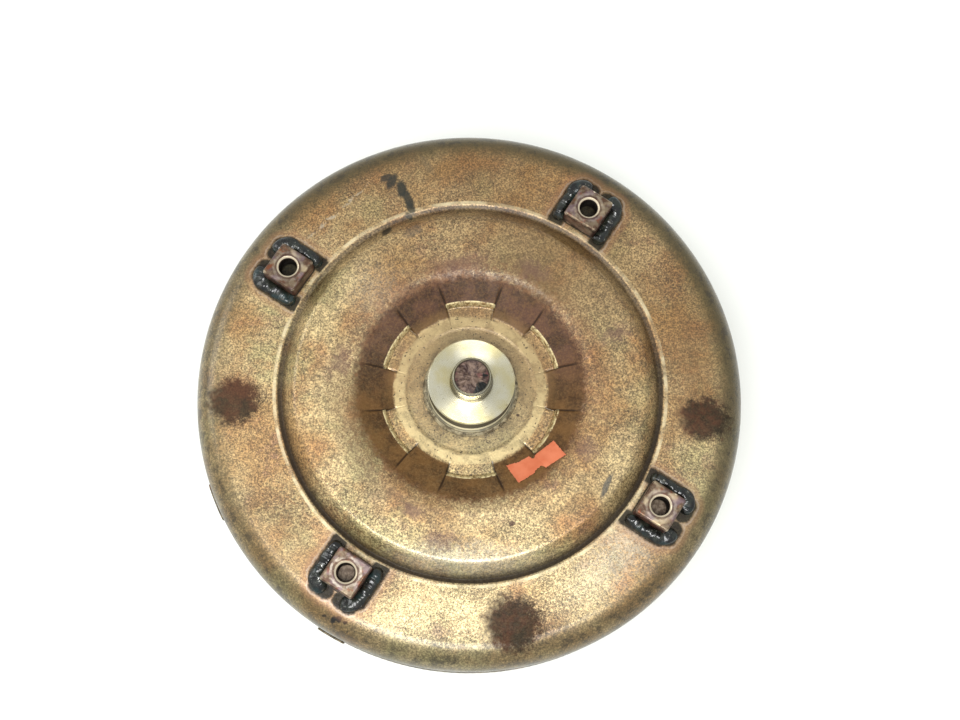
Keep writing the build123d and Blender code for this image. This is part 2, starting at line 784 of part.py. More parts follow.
# two retainer plates with windows for the springs
retainers = (
    ("damper_rear_retainer", damper_z - driven_t / 2 - retainer_gap - retainer_t),
    ("damper_front_retainer", damper_z + driven_t / 2 + retainer_gap),
)
for plate_name, plate_z in retainers:
    with BuildPart() as retainer:
        with BuildSketch(Plane.XY.offset(plate_z)):
            Circle(retainer_out_r)
            Circle(retainer_in_r, mode=Mode.SUBTRACT)
            with PolarLocations(damper_r, spring_count, start_angle=tongue_deg):
                Rectangle(2 * spring_r + 1, window_len, mode=Mode.SUBTRACT)
            with PolarLocations(rivet_circle_r, spring_count):
                Circle(rivet_r, mode=Mode.SUBTRACT)
            if plate_name == "damper_front_retainer":
                with PolarLocations(retainer_out_r, spring_count, start_angle=tongue_deg):
                    Rectangle(8, 10.6, mode=Mode.SUBTRACT)
        extrude(amount=retainer_t)
    save(retainer.part, plate_name)

# rivets that hold the two retainers together
with BuildPart() as damper_rivets:
    rear_z = retainers[0][1]
    front_z = retainers[1][1] + retainer_t
    with BuildSketch(Plane.XY.offset(rear_z)):
        with PolarLocations(rivet_circle_r, spring_count):
            Circle(rivet_r)
    extrude(amount=front_z - rear_z)
    with BuildSketch(Plane.XY.offset(front_z)):
        with PolarLocations(rivet_circle_r, spring_count):
            Circle(rivet_head_r)
    extrude(amount=1.2)
    with BuildSketch(Plane.XY.offset(rear_z - 0.9)):
        with PolarLocations(rivet_circle_r, spring_count):
            Circle(rivet_head_r)
    extrude(amount=0.9)
save(damper_rivets.part, "damper_rivets")

# coil springs in the windows
with BuildPart() as damper_springs:
    coil_len = window_len - 2 * wire_r - 0.6
    coil_r = spring_r - wire_r
    for spring_number in range(spring_count):
        spring_deg = tongue_deg + spring_number * 360 / spring_count
        out = around(1, spring_deg)
        along = Vector(0, 0, 1).cross(out)
        start = around(damper_r, spring_deg, damper_z) - along * (coil_len / 2)
        with BuildLine():
            coil = Helix(
                pitch=coil_len / coil_turns, height=coil_len, radius=coil_r, center=start, direction=along
            )
        with BuildSketch(Plane(origin=coil @ 0, z_dir=coil % 0)):
            Circle(wire_r)
        sweep(path=coil, is_frenet=True)
save(damper_springs.part, "damper_springs")

# driven plate: dished disc on the turbine hub with six arms between the springs
with BuildPart() as damper_driven_plate:
    with BuildSketch(Plane.XZ):
        with BuildLine():
            FilletPolyline(
                (hub_r + 0.1, hub_flange_top + driven_t),
                (49, hub_flange_top + driven_t),
                (59, damper_z + driven_t / 2),
                (86, damper_z + driven_t / 2),
                radius=[4, 4],
            )
            offset(amount=driven_t, side=Side.RIGHT, kind=Kind.ARC)
        make_face()
    revolve(axis=Axis.Z)
    with BuildSketch(Plane.XY.offset(damper_z - 6)):
        with PolarLocations(damper_r + 4, spring_count, start_angle=tongue_deg):
            Rectangle(26, window_len)
    extrude(amount=12, mode=Mode.SUBTRACT)
    with BuildSketch(Plane.XY.offset(hub_flange_top)):
        with PolarLocations(turb_rivet_circle, turb_rivet_count):
            Circle(turb_rivet_r)
    extrude(amount=driven_t, mode=Mode.SUBTRACT)
save(damper_driven_plate.part, "damper_driven_plate")
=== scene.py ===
import json
import math

import bpy
from mathutils import Matrix, Vector, noise


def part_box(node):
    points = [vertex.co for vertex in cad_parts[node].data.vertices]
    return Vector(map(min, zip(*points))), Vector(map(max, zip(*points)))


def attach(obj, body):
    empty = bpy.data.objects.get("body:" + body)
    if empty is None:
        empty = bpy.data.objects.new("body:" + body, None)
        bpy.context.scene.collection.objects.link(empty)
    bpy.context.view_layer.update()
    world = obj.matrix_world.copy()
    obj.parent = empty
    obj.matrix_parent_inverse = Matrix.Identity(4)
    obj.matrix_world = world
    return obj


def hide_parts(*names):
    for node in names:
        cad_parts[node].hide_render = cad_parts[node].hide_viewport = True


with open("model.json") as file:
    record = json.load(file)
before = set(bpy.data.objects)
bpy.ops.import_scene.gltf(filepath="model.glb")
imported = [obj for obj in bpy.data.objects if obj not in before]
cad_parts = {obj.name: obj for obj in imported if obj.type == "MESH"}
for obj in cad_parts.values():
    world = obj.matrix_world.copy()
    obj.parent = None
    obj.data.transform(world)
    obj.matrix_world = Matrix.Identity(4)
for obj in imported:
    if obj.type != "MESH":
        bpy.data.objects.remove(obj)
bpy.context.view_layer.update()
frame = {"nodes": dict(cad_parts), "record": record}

MM = 0.001
TAU = 2 * math.pi

# ---- Sizes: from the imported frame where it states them; the rest repeat the CAD source's own values
mounts = {m["name"]: m for m in frame["record"]["mounts"]}
cover_lo, cover_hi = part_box("front_cover")
pads_lo, pads_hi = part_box("drive_pads")
pilot_lo, pilot_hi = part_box("crank_pilot")
seam_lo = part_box("seam_weld")[0]
hub_weld_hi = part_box("hub_weld")[1]
foot_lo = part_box("pilot_weld")[0]

RIM_R = cover_hi.x
RING_Z = pads_lo.z
PAD_TOP_Z = pads_hi.z
COVER_END_Z = cover_lo.z
DOME_Z = cover_hi.z
FLOOR_Z = foot_lo.z
PILOT_R = mounts["crank_pilot"]["dims"]["r_mm"] * MM
PILOT_Z = RING_Z + 17.6 * MM
NUB_TOP_Z = pilot_hi.z
NUB_R = 9.7 * MM
FOOT_R = 22.6 * MM
SPIGOT_R = 17 * MM
PAD_CIRCLE_R = mounts["drive_pad_bolts"]["dims"]["pcd_mm"] / 2 * MM
PAD_HOLE_R = mounts["drive_pad_bolts"]["dims"]["hole_r_mm"] * MM
face = mounts["drive_pad_face"]["pos_m"]
PAD_ANGLE = math.atan2(face[1], face[0])
PAD_SIDE = 19 * MM
RING_IN_R = 98.5 * MM
GROOVE_R = 95.6 * MM
SHEET = 5 * MM
FLOOR_R = 38 * MM
POCKET_R = 44.5 * MM
POCKET_HALF = math.radians(16)
POCKETS = 6
CREASE_END_R = 59 * MM
DOME_IN_R = 61 * MM
DOME_OUT_R = 88.5 * MM
RIM_FILLET = 14 * MM
LEDGE_R = 32 * MM
BOWL_R = 66 * MM
RIM_SHOULDER_R = RIM_R - RIM_FILLET
COVER_SEGMENTS = 720
BEAD_LINE = PAD_SIDE / 2 + 2.8 * MM

# ---- Paint, wear and painted light: angles in degrees round the part, lengths in millimetres, display colours
VARNISH_PALE = (192, 170, 122)
VARNISH_OCHRE = (162, 128, 80)
# angle, radius, half length, half width, and for some a strength
BLOTCHES = ((183, 119, 13.5, 12), (280, 119, 14, 14), (352.5, 119, 13.5, 11))
SMUDGES = (
    (20, 78, 8, 3.5),
    (331, 66, 6, 4.5),
    (259, 79, 5, 8),
    (95, 64, 4.5, 13),
    (168, 66, 4, 7),
    (245, 69, 3, 6),
    (62, 68, 5, 8),
)
# painted highlights: pale patches where the light falls
HIGHLIGHT_PATCHES = (
    (314, 110, 30, 11, 0.34),
    (268, 87, 32, 7, 0.36),
    (135, 72, 12, 10, 0.12),
)
SHADED = (
    (58, 82, 38, 17, 0.45),
    (200, 63, 28, 8, 0.5),
    (245, 65, 18, 6, 0.35),
    (55, 64, 15, 6, 0.45),
    (6, 115, 26, 11, 0.38),
    (92, 120, 30, 8, 0.25),
    (318, 84, 16, 8, 0.3),
    (224, 117, 30, 11, 0.3),
)
# angle, radius, half length, half width, turn, strength, colour
MARKS = (
    (111.3, 121, 3.2, 2.0, 40, 0.85, (40, 38, 28)),
    (110.3, 118, 4.6, 2.2, 62, 0.9, (34, 34, 24)),
    (108.6, 112.5, 5.0, 2.5, 95, 0.92, (32, 34, 24)),
    (107.7, 106, 5.5, 2.3, 112, 0.9, (32, 34, 24)),
    (108.0, 101, 3.6, 1.8, 120, 0.85, (40, 40, 28)),
    (109.2, 97.2, 2.4, 1.5, 130, 0.8, (40, 40, 28)),
    (117.6, 93.4, 3.4, 1.9, 50, 0.9, (26, 24, 16)),
    (110, 86.5, 5.5, 2.8, 30, 0.4, (86, 80, 68)),
    (100.5, 122, 6.5, 1.8, 120, 0.35, (96, 84, 60)),
    (322.8, 83.8, 6.2, 1.5, 64, 0.75, (66, 68, 66)),
    (239.6, 133.2, 1.7, 1.3, 60, 0.95, (14, 12, 8)),
    (240.6, 131.6, 1.8, 1.5, 20, 0.95, (14, 12, 8)),
    (242.0, 131.4, 1.0, 0.9, 0, 0.9, (14, 12, 8)),
    (237.4, 133.6, 1.1, 0.6, 0, 0.8, (20, 16, 10)),
    (286, 71.7, 1.4, 1.1, 0, 0.85, (66, 36, 20)),
    (331.5, 27.2, 0.9, 0.8, 0, 0.9, (50, 26, 14)),
)


# ---- Mesh helpers
def link(obj):
    bpy.context.scene.collection.objects.link(obj)
    return obj


def mesh_object(name, verts, faces, smooth=True):
    mesh = bpy.data.meshes.new(name)
    mesh.from_pydata(verts, [], faces)
    mesh.validate()
    mesh.update()
    mesh.polygons.foreach_set("use_smooth", [smooth] * len(mesh.polygons))
    return link(bpy.data.objects.new(name, mesh))


def polar(radius, angle, height=0.0):
    return Vector((radius * math.cos(angle), radius * math.sin(angle), height))


def smoothstep(low, high, value):
    t = min(1.0, max(0.0, (value - low) / (high - low)))
    return t * t * (3 - 2 * t)


def wrap(angle):
    """Angle brought into -pi..pi."""
    return (angle + math.pi) % TAU - math.pi


def fillet_line(points, radii, step):
    """Points along a polyline with rounded corners, no further apart than step."""
    line = [Vector(points[0])]
    for before, corner, after, radius in zip(points, points[1:], points[2:], radii):
        corner = Vector(corner)
        back = (Vector(before) - corner).normalized()
        ahead = (Vector(after) - corner).normalized()
        half = back.angle(ahead) / 2
        reach = radius / math.tan(half)
        centre = corner + (back + ahead).normalized() * (radius / math.sin(half))
        start = corner + back * reach - centre
        turn = start.angle_signed(corner + ahead * reach - centre)
        count = max(2, round(abs(turn) * max(radius, step) / step * 1.5))
        for i in range(count + 1):
            line.append(centre + Matrix.Rotation(-turn * i / count, 2) @ start)
    line.append(Vector(points[-1]))
    return dense_line(line, step)


def lathe(name, profile, segments, shape, shaped_rows=None):
    """Closed surface of revolution of (r, z) points.

    shape(r, angle, z) moves the points of the first shaped_rows rows, or of all."""
    verts = []
    faces = []
    rows = len(profile)
    for row, (radius, height) in enumerate(profile):
        shaped = shaped_rows is None or row < shaped_rows
        for k in range(segments):
            angle = TAU * k / segments
            r, z = shape(radius, angle, height) if shaped else (radius, height)
            verts.append(polar(r, angle, z))
    for row in range(rows):
        a = row * segments
        b = (row + 1) % rows * segments
        for k in range(segments):
            n = (k + 1) % segments
            faces.append((a + k, b + k, b + n, a + n))
    return mesh_object(name, verts, faces)


def dense_line(points, step):
    """Straight runs divided so that no edge is longer than step."""
    line = [Vector(p) for p in points]
    out = [line[0]]
    for a, b in zip(line, line[1:]):
        length = (b - a).length
        if length > 1e-9:
            count = math.ceil(length / step)
            out.extend(a.lerp(b, (i + 1) / count) for i in range(count))
    return out


# ---- Node helpers
class Nodes:
    """Short calls that build a material's node tree."""

    def __init__(self, name):
        self.mat = bpy.data.materials.new(name)
        self.mat.use_nodes = True
        self.tree = self.mat.node_tree
        self.tree.nodes.clear()
        self.bsdf = self.tree.nodes.new("ShaderNodeBsdfPrincipled")
        self.node("OutputMaterial", {0: self.bsdf.outputs[0]})
        self.coord = self.node("TexCoord", {})["Object"]

    def node(self, kind, inputs, **settings):
        """Outputs of a new node, whose inputs are given by name or number."""
        node = self.tree.nodes.new("ShaderNode" + kind)
        for name, value in settings.items():
            setattr(node, name, value)
        for key, value in inputs.items():
            self.plug(value, node.inputs[key])
        return node.outputs

    def plug(self, value, target):
        """Link a socket, or store a number, a vector or an 8-bit display colour."""
        if isinstance(value, bpy.types.NodeSocket):
            self.tree.links.new(value, target)
        elif isinstance(value, tuple) and len(target.default_value) == 4:
            target.default_value = (*srgb(*value), 1)
        else:
            target.default_value = value

    def set(self, socket, value):
        self.plug(value, self.bsdf.inputs[socket])

    def surface(self, colour, metallic, rough):
        self.set("Base Color", colour)
        self.set("Metallic", metallic)
        self.set("Roughness", rough)

    def math(self, kind, a, b=0.0):
        return self.node("Math", {0: a, 1: b}, operation=kind)[0]

    def times(self, *factors):
        total = factors[0]
        for factor in factors[1:]:
            total = self.math("MULTIPLY", total, factor)
        return total

    def plus(self, a, b):
        return self.math("ADD", a, b)

    def minus(self, a, b):
        return self.math("SUBTRACT", a, b)

    def rest(self, value):
        """1 minus value."""
        return self.minus(1.0, value)

    def most(self, a, b):
        return self.math("MAXIMUM", a, b)

    def vec(self, kind, a, b=(0, 0, 0)):
        outputs = self.node("VectorMath", {0: a, 1: b}, operation=kind)
        return outputs["Value" if kind == "LENGTH" else "Vector"]

    def noise(self, size_mm, detail=2.0, rough=0.5, at=None, warp=0.0):
        inputs = {"Vector": at or self.coord, "Scale": 1000 / size_mm, "Detail": detail,
                  "Roughness": rough, "Distortion": warp}
        return self.node("TexNoise", inputs)["Fac"]

    def cells(self, size_mm, at=None):
        inputs = {"Vector": at or self.coord, "Scale": 1000 / size_mm}
        return self.node("TexVoronoi", inputs)["Distance"]

    def ramp(self, value, low, high, to_low=0.0, to_high=1.0):
        """Smooth step from low to high, mapped to to_low..to_high."""
        inputs = {0: value, 1: low, 2: high, 3: to_low, 4: to_high}
        return self.node("MapRange", inputs, interpolation_type="SMOOTHSTEP")[0]

    def ramp_mm(self, value, low, high, to_low=0.0, to_high=1.0):
        return self.ramp(value, low * MM, high * MM, to_low, to_high)

    def mix(self, fac, a, b, kind="MIX"):
        return self.node("Mix", {0: fac, 6: a, 7: b}, data_type="RGBA", blend_type=kind)[2]

    def split(self, vector=None):
        return self.node("SeparateXYZ", {0: vector or self.coord})

    def join(self, x, y, z=0.0):
        return self.node("CombineXYZ", {0: x, 1: y, 2: z})[0]

    def cloud(self, size_mm, detail, rough, low, high, to_low=0.0, to_high=1.0):
        """Noise stepped smoothly from low to high."""
        return self.ramp(self.noise(size_mm, detail, rough), low, high, to_low, to_high)

    def tint(self, colour, where, strength, shade):
        """Colour moved towards shade where the mask is 1, by strength."""
        return self.mix(self.times(where, strength), colour, shade)

    def stir(self, size_a, size_b, reach, detail=2.0, rough=0.5):
        """Coordinates pushed about in plan by up to half of reach."""
        swirl = self.join(self.noise(size_a, detail, rough), self.noise(size_b, detail, rough), 0.5)
        push = self.vec("MULTIPLY", self.vec("SUBTRACT", swirl, (0.5, 0.5, 0.5)), (reach, reach, 0.0))
        return self.vec("ADD", self.coord, push)

    def brushed(self, amount):
        """Anisotropy of a turned face: tangent round the axis, a quarter turn on."""
        self.set("Anisotropic", amount)
        self.set("Anisotropic Rotation", 0.25)
        self.set("Tangent", self.node("Tangent", {}, direction_type="RADIAL", axis="Z")[0])

    def radius(self, vector=None):
        x, y, z = self.split(vector)
        return self.vec("LENGTH", self.join(x, y))

    def spot(self, angle_deg, radius_mm, half_len, half_wid, turn, soft, at):
        """1 inside an ellipse in plan, 0 outside; half sizes in millimetres, turn in radians."""
        inputs = {"Vector": at, "Location": polar(radius_mm * MM, math.radians(angle_deg)),
                  "Rotation": (0, 0, turn), "Scale": (half_len * MM, half_wid * MM, 1000)}
        place = self.node("Mapping", inputs, vector_type="TEXTURE")[0]
        return self.ramp(self.vec("LENGTH", place), 1 + soft, 1 - soft)

    def bump(self, height, strength, distance_mm):
        inputs = {"Strength": strength, "Distance": distance_mm * MM, "Height": height}
        self.set("Normal", self.node("Bump", inputs)[0])

    def edges(self, low, high):
        """1 on convex edges, by the mesh's own pointiness."""
        return self.ramp(self.node("NewGeometry", {})["Pointiness"], low, high)


def srgb(r, g, b):
    """Linear colour of an 8-bit display colour."""
    def linear(value):
        c = value / 255
        return c / 12.92 if c <= 0.04045 else ((c + 0.055) / 1.055) ** 2.4
    return (linear(r), linear(g), linear(b))


# ---- Materials
def folded_pad(n):
    """Plan coordinates folded so that all four pads fall on one: outward, and sideways."""
    x, y, unused = n.split()
    ca, sa = math.cos(PAD_ANGLE), math.sin(PAD_ANGLE)
    u = n.math("ABSOLUTE", n.plus(n.times(x, ca), n.times(y, sa)))
    v = n.math("ABSOLUTE", n.minus(n.times(y, ca), n.times(x, sa)))
    out = n.minus(n.most(u, v), PAD_CIRCLE_R)
    return out, n.math("MINIMUM", u, v)


def beyond(n, value, middle, half):
    """How far value lies outside middle plus or minus half."""
    off = n.math("ABSOLUTE", n.minus(value, middle))
    return n.most(n.minus(off, half), 0.0)


def ring_band(n, value, low, high, soft):
    """1 between low and high, all in millimetres."""
    up = n.ramp(value, (low - soft) * MM, low * MM)
    down = n.ramp(value, (high + soft) * MM, high * MM)
    return n.times(up, down)


def patches(n, table, turn, soft, at):
    """1 in elliptical patches, whose long axis is turned from the radial direction."""
    mask = 0.0
    for angle_deg, radius_mm, half_len, half_wid, *strength in table:
        along = math.radians(angle_deg) + turn
        spot = n.spot(angle_deg, radius_mm, half_len, half_wid, along, soft, at)
        mask = n.most(mask, n.times(spot, *strength))
    return mask


def varnish_tint(n, warped):
    """Cream, ochre, olive and brown clouds of old varnish."""
    colour = n.mix(n.cloud(55, 4, 0.6, 0.4, 0.62), VARNISH_PALE, VARNISH_OCHRE)
    olive = n.ramp(n.noise(34, 4, 0.6, warped), 0.5, 0.66, 0.0, 0.7)
    colour = n.mix(olive, colour, (162, 154, 106))
    orange = n.cloud(26, 5, 0.65, 0.5, 0.68, 0.0, 0.5)
    colour = n.mix(orange, colour, (158, 106, 62))
    mauve = n.ramp(n.noise(19, 5, 0.7, warped), 0.57, 0.7, 0.0, 0.5)
    return n.mix(mauve, colour, (134, 100, 84))


def far_shade_and_streaks(n, colour):
    """Darker toward the far edge and rim as painted shade, with streaks that run round the part."""
    x, y, unused = n.split()
    # painted shade: the far side of the cover darkened
    far = n.ramp_mm(n.plus(y, n.times(x, 0.45)), -45, 115)
    colour = n.tint(colour, far, 0.52, (122, 84, 38))
    streaks = n.noise(3.2, 3, 0.6, n.join(n.radius(), n.times(n.noise(40), 0.01)))
    return n.mix(n.ramp(streaks, 0.5, 0.72, 0.0, 0.22), colour, (118, 88, 54))


def speckles(n, colour):
    """Rust pepper in three sizes, thicker in some clouds than in others."""
    dense = n.cloud(24, 3, 0.6, 0.3, 0.7, 0.44, 0.56)
    pepper = n.cloud(1.15, 6, 0.95, dense, n.minus(dense, 0.13))
    colour = n.tint(colour, pepper, 0.86, (78, 54, 28))
    coarse = n.cloud(2.1, 3, 0.7, 0.34, 0.66, 0.68, 1.24)
    fine = n.cloud(0.85, 2, 0.6, 0.36, 0.64, 0.52, 1.42)
    colour = n.mix(1.0, colour, n.times(coarse, fine), "MULTIPLY")
    pits = n.ramp(n.cells(4.2), 0.11, 0.07)
    colour = n.tint(colour, pits, 0.75, (58, 42, 26))
    freckle = n.times(n.cloud(1.6, 6, 0.95, 0.55, 0.62), n.cloud(46, 2, 0.5, 0.46, 0.6))
    colour = n.tint(colour, freckle, 0.55, (150, 84, 42))
    return colour, pepper, pits


def varnished_cover():
    """Pressed steel under aged golden varnish, with stains, speckle, marks and scratches, and painted
    shade and highlights.
    """
    n = Nodes("varnished_cover")
    warped = n.stir(5, 5.7, 5 * MM)
    ragged = n.stir(3.4, 3.9, 20 * MM, 5, 0.8)
    r = n.radius()
    rough_r = n.radius(ragged)
    x, y, z = n.split()

    colour = far_shade_and_streaks(n, varnish_tint(n, warped))
    colour, pepper, pits = speckles(n, colour)

    # the rim's shoulder is painted olive shade, deeper toward the far side; its side is painted darker
    # as shade
    shoulder_shade = n.ramp_mm(n.radius(warped), 121, 133)
    far_shade_depth = n.ramp_mm(n.plus(y, n.times(x, 0.6)), -90, 90, 0.6, 0.9)
    colour = n.tint(colour, shoulder_shade, far_shade_depth, (82, 72, 42))
    side = n.ramp(z, RING_Z - 4 * MM, RING_Z - 16 * MM)
    colour = n.mix(n.times(side, n.ramp_mm(r, 120, 132), 0.8), colour, (70, 64, 46))
    mottle = n.times(n.cloud(7, 5, 0.75, 0.5, 0.6), n.ramp_mm(r, 128, 134))
    colour = n.tint(colour, mottle, 0.6, (46, 40, 28))

    # brown stain round the centre; it starts nearer the middle between the pockets
    six = n.math("COSINE", n.times(n.math("ARCTAN2", y, x), POCKETS))
    lobe = n.ramp(six, 0.03, 0.18)
    start = n.minus(45.6 * MM, n.times(lobe, 6.2 * MM))
    band_r = n.plus(n.times(rough_r, 0.6), n.times(r, 0.4))
    stained = n.times(n.ramp_mm(n.minus(r, start), -0.5, 0.7), n.ramp_mm(band_r, 61, 56))
    clouds = n.cloud(13, 4, 0.65, 0.38, 0.62)
    stain = n.mix(n.ramp_mm(y, -15, 25), n.mix(clouds, (62, 41, 20), (98, 69, 36)),
                  n.mix(clouds, (54, 36, 28), (84, 58, 46)))
    grain = n.cloud(1.4, 3, 0.75, 0.45, 0.62)
    stain = n.tint(stain, grain, 0.3, (126, 92, 54))
    colour = n.tint(colour, stained, 0.94, stain)
    edge_band = n.times(n.ramp_mm(r, 76, 58), n.ramp_mm(r, 54, 58))
    rusty = n.plus(n.cloud(2.2, 6, 0.95, 0.44, 0.56, 0.0, 0.75), n.ramp_mm(y, 10, 50, 0.0, 0.5))
    fringe = n.math("MINIMUM", n.times(edge_band, rusty), 1.0)
    fringe_tint = n.mix(n.cloud(3, 4, 0.8, 0.4, 0.6), (74, 48, 36), (134, 96, 66))
    colour = n.tint(colour, fringe, 0.78, fringe_tint)
    # creases that run on from the pockets' corners, painted dark as shade
    line_at = n.ramp_mm(r, 42, 60, 0.105, 0.27)
    crease = n.ramp(n.math("ABSOLUTE", n.minus(six, line_at)), 0.075, 0.03)
    crease = n.times(crease, ring_band(n, r, 38.5, 52, 6))
    colour = n.tint(colour, crease, 0.8, (34, 22, 12))
    # pale lips of the pockets, a painted highlight where their edges catch the light, and speckled
    # floors of the pockets
    lip = n.times(ring_band(n, r, 44.4, 45.8, 0.3), n.rest(lobe), n.cloud(2.2, 4, 0.7, 0.4, 0.56))
    colour = n.tint(colour, lip, 0.75, (244, 226, 170))
    centre = n.times(n.ramp_mm(r, 39.5, 37), 0.55)
    floor_tint = n.mix(n.cloud(6, 4, 0.7, 0.35, 0.65), (186, 168, 120), (146, 132, 94))
    colour = n.mix(centre, colour, floor_tint)
    grime = n.times(n.ramp_mm(r, 37, 33), n.cloud(1.1, 4, 0.9, 0.5, 0.6),
                    n.cloud(17, 3, 0.5, 0.35, 0.6, 0.2, 0.8))
    colour = n.mix(grime, colour, (92, 80, 62))
    pale_rim = n.times(ring_band(n, n.radius(warped), 34, 38, 1.2),
                       n.cloud(5, 3, 0.5, 0.35, 0.6, 0.2, 0.7))
    colour = n.mix(pale_rim, colour, (214, 192, 138))
    shadow = n.times(n.ramp_mm(r, 46, 41), n.ramp_mm(y, -30, 22), 0.42)
    colour = n.mix(shadow, colour, (132, 102, 62))
    black_dots = n.times(n.ramp(n.cells(2.3, warped), 0.2, 0.13), n.ramp_mm(r, 48, 44),
                         n.rest(stained))
    colour = n.tint(colour, black_dots, 0.8, (44, 36, 24))
    soot = n.times(n.ramp_mm(r, 29, 23), n.cloud(5, 4, 0.75, 0.42, 0.6))
    colour = n.tint(colour, soot, 0.75, (58, 50, 38))

    # painted highlights: areas lit nearly white, broken up by grit; and shaded ones
    grit = n.cloud(1.3, 5, 0.9, 0.34, 0.56)
    colour = n.tint(colour, patches(n, HIGHLIGHT_PATCHES, TAU / 4, 0.9, ragged), grit, (232, 226, 204))
    for patch in SHADED:
        colour = n.mix(patches(n, (patch,), TAU / 4, 0.9, warped), colour, (104, 78, 42))

    # three blotches on the drive ring, with ragged edges
    blot = patches(n, BLOTCHES, 0.0, 0.3, ragged)
    blot_colour = n.mix(n.cloud(8, 4, 0.7, 0.36, 0.64), (34, 26, 16), (68, 38, 24))
    colour = n.tint(colour, blot, 0.92, blot_colour)

    # mauve smudges on the dome
    colour = n.tint(colour, patches(n, SMUDGES, 0.0, 0.6, ragged), 0.6, (100, 70, 58))

    # painted shade on the dome's steep foot in the groove, deeper on the near side, and a painted
    # highlight on the edge of the ring above it
    groove = n.times(n.ramp_mm(r, 90.5, 96.2), n.ramp_mm(r, 98.2, 97.4),
                     n.ramp_mm(y, 70, -30, 0.6, 0.96))
    colour = n.mix(groove, colour, (34, 25, 14))
    rubbed = n.times(ring_band(n, r, 98.7, 99.8, 0.6), n.cloud(9, 2, 0.5, 0.35, 0.65, 0.1, 0.7))
    colour = n.mix(rubbed, colour, (226, 210, 168))

    # pen strokes and scuffs
    pen = n.stir(5, 5.7, 1.8 * MM)
    for angle_deg, radius_mm, half_len, half_wid, turn_deg, strength, shade in MARKS:
        turn = math.radians(turn_deg)
        spot = n.spot(angle_deg, radius_mm, half_len, half_wid, turn, 0.3, pen)
        colour = n.tint(colour, spot, strength, shade)
    scratch = n.spot(128, 116, 22, 0.8, math.radians(44), 0.5, warped)
    scratch = n.times(scratch, n.cloud(3.4, 2, 0.6, 0.4, 0.6))
    colour = n.tint(colour, scratch, 0.5, (196, 184, 160))

    # burnt scale round the weld beads, with a pale line where it ends
    out, aside = folded_pad(n)
    bead_a = n.vec("LENGTH", n.join(beyond(n, out, -1.5 * MM, 9.5 * MM), n.minus(aside, BEAD_LINE)))
    bead_b = n.vec("LENGTH", n.join(n.minus(out, BEAD_LINE), beyond(n, aside, 7.0 * MM, 2.5 * MM)))
    near = n.math("MINIMUM", bead_a, bead_b)
    near = n.plus(near, n.times(n.minus(n.noise(2.6, 5, 0.75), 0.5), 2.2 * MM))
    under = n.vec("LENGTH", n.join(beyond(n, out, 0.0, 8 * MM), beyond(n, aside, 0.0, 8 * MM)))
    on_ring = n.ramp_mm(r, 98.2, 99.0)
    tint = n.times(n.ramp_mm(near, 9.5, 6.5), on_ring)
    colour = n.tint(colour, tint, 0.35, (150, 104, 70))
    halo = n.times(ring_band(n, near, 4.9, 5.3, 0.5), on_ring, n.cloud(6, 3, 0.5, 0.35, 0.6, 0.25, 1.0))
    colour = n.tint(colour, halo, 0.6, (160, 142, 122))
    burnt = n.most(n.ramp_mm(near, 5.2, 3.5), n.ramp_mm(under, 2.6, 1.6))
    burnt = n.times(burnt, on_ring)
    scale = n.mix(n.cloud(3.4, 4, 0.7, 0.4, 0.62), (13, 14, 11), (36, 36, 26))
    colour = n.tint(colour, burnt, 0.94, scale)

    hole = n.vec("LENGTH", n.join(out, aside))
    bottom = n.times(n.ramp_mm(hole, 5.6, 5.2), n.ramp_mm(y, -40, -70), 0.9)
    bottom_tint = n.mix(n.cloud(2, 3, 0.6, 0.4, 0.6), (150, 132, 112), (104, 86, 70))
    colour = n.mix(bottom, colour, bottom_tint)

    dull = n.most(n.most(stained, blot), n.most(groove, burnt))
    dull = n.most(dull, n.times(fringe, 0.85))
    n.set("Base Color", colour)
    n.set("Metallic", n.times(n.rest(dull), 0.42))
    gloss = n.cloud(20, 4, 0.6, 0.3, 0.7, 0.30, 0.44)
    gloss = n.plus(gloss, n.times(pepper, 0.14))
    gloss = n.plus(gloss, n.times(dull, 0.18))
    n.set("Roughness", n.minus(gloss, n.times(burnt, 0.22)))
    n.set("Specular IOR Level", n.minus(0.5, n.times(dull, 0.32)))
    n.set("Coat Weight", n.times(n.rest(dull), 0.45))
    n.set("Coat Roughness", 0.24)
    height = n.minus(n.times(n.noise(1.3, 4, 0.7), 0.9), n.times(pepper, 0.35))
    height = n.minus(height, n.times(pits, 0.7))
    height = n.minus(height, n.times(crease, 1.2))
    n.bump(height, 0.5, 0.16)
    return n.mat


def turned_steel(name, tone):
    """Bright lathe-turned steel with concentric tool marks."""
    n = Nodes(name)
    marks = n.noise(0.22, 3, 0.7, n.join(n.plus(n.radius(), n.split()[2]), 0.0, 0.0))
    colour = n.mix(n.cloud(16, 3, 0.5, 0.35, 0.65), tone, (tone[0] - 22, tone[1] - 30, tone[2] - 46))
    colour = n.mix(n.ramp(marks, 0.3, 0.7, 0.0, 0.25), colour, (150, 136, 92))
    stain = n.cloud(3.2, 4, 0.7, 0.62, 0.72)
    colour = n.tint(colour, stain, 0.35, (120, 96, 60))
    n.surface(colour, 1.0, n.ramp(marks, 0.3, 0.7, 0.2, 0.34))
    n.brushed(0.75)
    n.bump(marks, 0.12, 0.03)
    return n.mat


